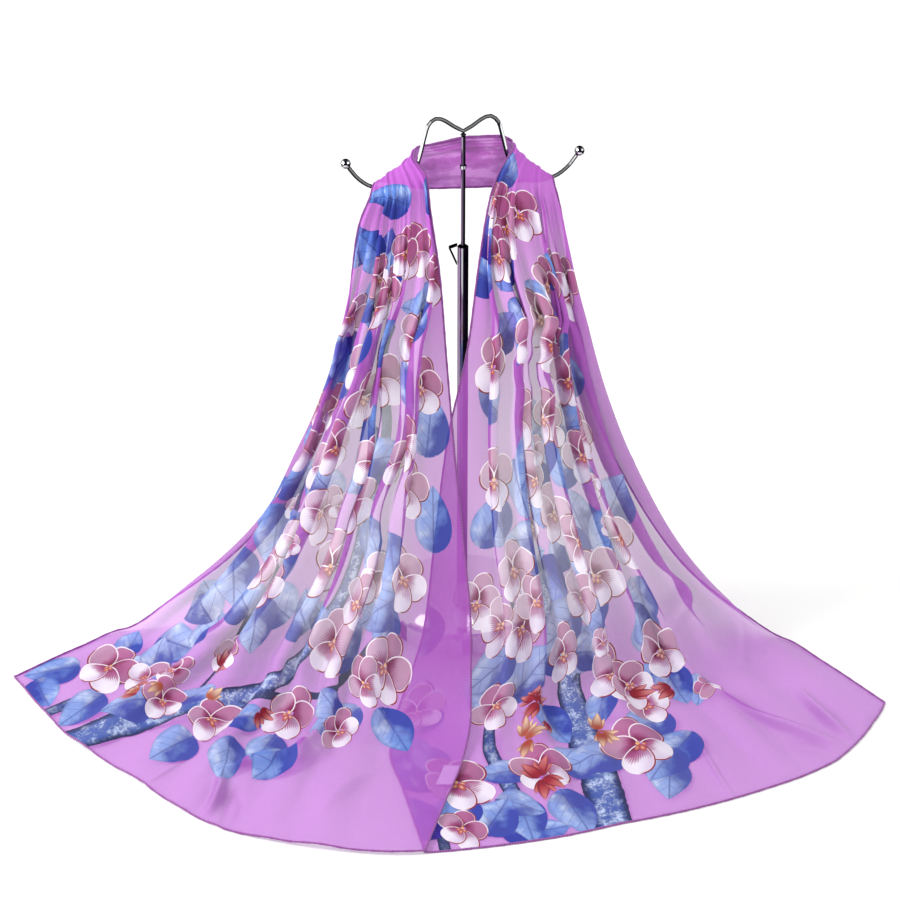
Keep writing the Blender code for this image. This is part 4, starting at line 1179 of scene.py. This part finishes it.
# Each metal: its nodes, its dark colour, the colour of its painted reflections, its left side
# colour, which is a painted reflection of the cloth, its roughness and its painted reflections.
Metal = namedtuple("Metal", "name nodes dark light side roughness metallic panes")
METALS = (
    Metal("tube_chrome", ("outer_tube",), (0.012, 0.010, 0.018), (0.80, 0.78, 0.84),
          (0.30, 0.22, 0.34), 0.10, 1.0, TUBE_PAINTED_HIGHLIGHT),
    Metal("rod_chrome", ("inner_rod", "lock_clip"), (0.012, 0.010, 0.018),
          (0.085, 0.070, 0.095), (0.40, 0.32, 0.45), 0.10, 1.0, TUBE_PAINTED_HIGHLIGHT),
    Metal("ball_chrome", ("ball_left", "ball_right"), (0.012, 0.012, 0.018),
          (0.95, 0.95, 0.97), (0.20, 0.19, 0.21), 0.10, 1.0,
          ((-0.78, -0.30, 0.38, 0.74, 1.0), (0.30, 0.78, 0.36, 0.72, 1.0),
           (-0.12, 0.16, 0.40, 0.66, 0.6), (-0.55, 0.55, -0.55, -0.06, 0.7))),
    Metal("chrome", ("hanger_wire",), (0.012, 0.012, 0.018), (0.95, 0.95, 0.97),
          (0.10, 0.09, 0.11), 0.10, 1.0,
          ((-1.07, -0.14, -0.03, 0.45, 1.0), (-0.32, 0.58, 0.12, 0.48, 0.22))),
    # The base: a pale mirror with dark painted reflections in three patches of its side.
    Metal("base_chrome", ("base_disc",), (0.90, 0.88, 0.90), (0.16, 0.12, 0.18),
          (0.90, 0.88, 0.90), 0.015, 0.85,
          ((-0.06, 0.16, -0.4, 0.4, 1.0), (-0.86, -0.66, -0.4, 0.4, 1.0),
           (0.55, 0.70, -0.4, 0.4, 1.0))),
    Metal("steel", ("rod_ring", "hanger_hub"), (0.03, 0.03, 0.035), (0.60, 0.60, 0.64),
          (0.14, 0.13, 0.15), 0.20, 1.0,
          ((-0.70, 0.10, -0.6, 0.6, 1.0), (0.40, 0.90, -0.3, 0.3, 1.0))),
)


def finish_node(node, material):
    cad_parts[node].material_slots[0].material = material


for metal in METALS:
    plating = metal_material(metal)
    for node in metal.nodes:
        finish_node(node, plating)
finish_node("label", label_material())


# ---------------------------------------------------------------- floor, lights, camera

FLOOR_HALF = 9.0
FLOOR_COLOUR, WHITE = (0.93, 0.93, 0.92), (1.0, 1.0, 1.0, 1.0)
Light = namedtuple("Light", "name place target size power")
LIGHTS = (
    Light("key", (-1.9, -0.5, 1.5), (0.0, -0.15, 0.10), 0.9, 34.0),
    Light("fill", (1.6, -1.2, 1.8), (0.0, -0.15, 0.15), 1.6, 6.0),
    Light("catch_left", (-0.0635, 1.94, 1.362), (-0.0376, -0.05, 0.022), 0.03, 0.005),
    Light("catch_right", (0.0177, 1.94, 1.362), (0.0030, -0.05, 0.022), 0.03, 0.014),
)
# The camera: where it is, its tilt up from straight down, its lens and its sensor.
CAMERA_PLACE, CAMERA_TILT, LENS, SENSOR = (-0.0117, -2.0426, 1.3622), 60.0, 100.2, 36.0

floor_mesh = bpy.data.meshes.new("floor")
floor_mesh.from_pydata([(x * FLOOR_HALF, y * FLOOR_HALF, 0)
                        for x, y in ((-1, -1), (1, -1), (1, 1), (-1, 1))], [], [(0, 1, 2, 3)])
floor_mesh.materials.append(
    Surface("studio_floor").finish(colour=FLOOR_COLOUR, roughness=0.9))
floor = link_object("floor", floor_mesh)

world = bpy.data.worlds.new("studio")
world.use_nodes = True
background = world.node_tree.nodes["Background"].inputs
background["Color"].default_value = WHITE
background["Strength"].default_value = 1.0
bpy.context.scene.world = world
bpy.context.scene.view_settings.view_transform = "Standard"


for row in LIGHTS:
    lamp = bpy.data.lights.new(row.name, "AREA")
    lamp.shape = "DISK"
    lamp.size = row.size
    lamp.energy = row.power
    light = link_object(row.name, lamp)
    light.location = row.place
    aim = Vector(row.target) - Vector(row.place)
    light.rotation_euler = aim.to_track_quat("-Z", "Y").to_euler()

lens = bpy.data.cameras.new("camera")
lens.lens = LENS
lens.sensor_width = SENSOR
camera = link_object("camera", lens)
camera.location = CAMERA_PLACE
camera.rotation_euler = (math.radians(CAMERA_TILT), 0.0, 0.0)
bpy.context.scene.camera = camera
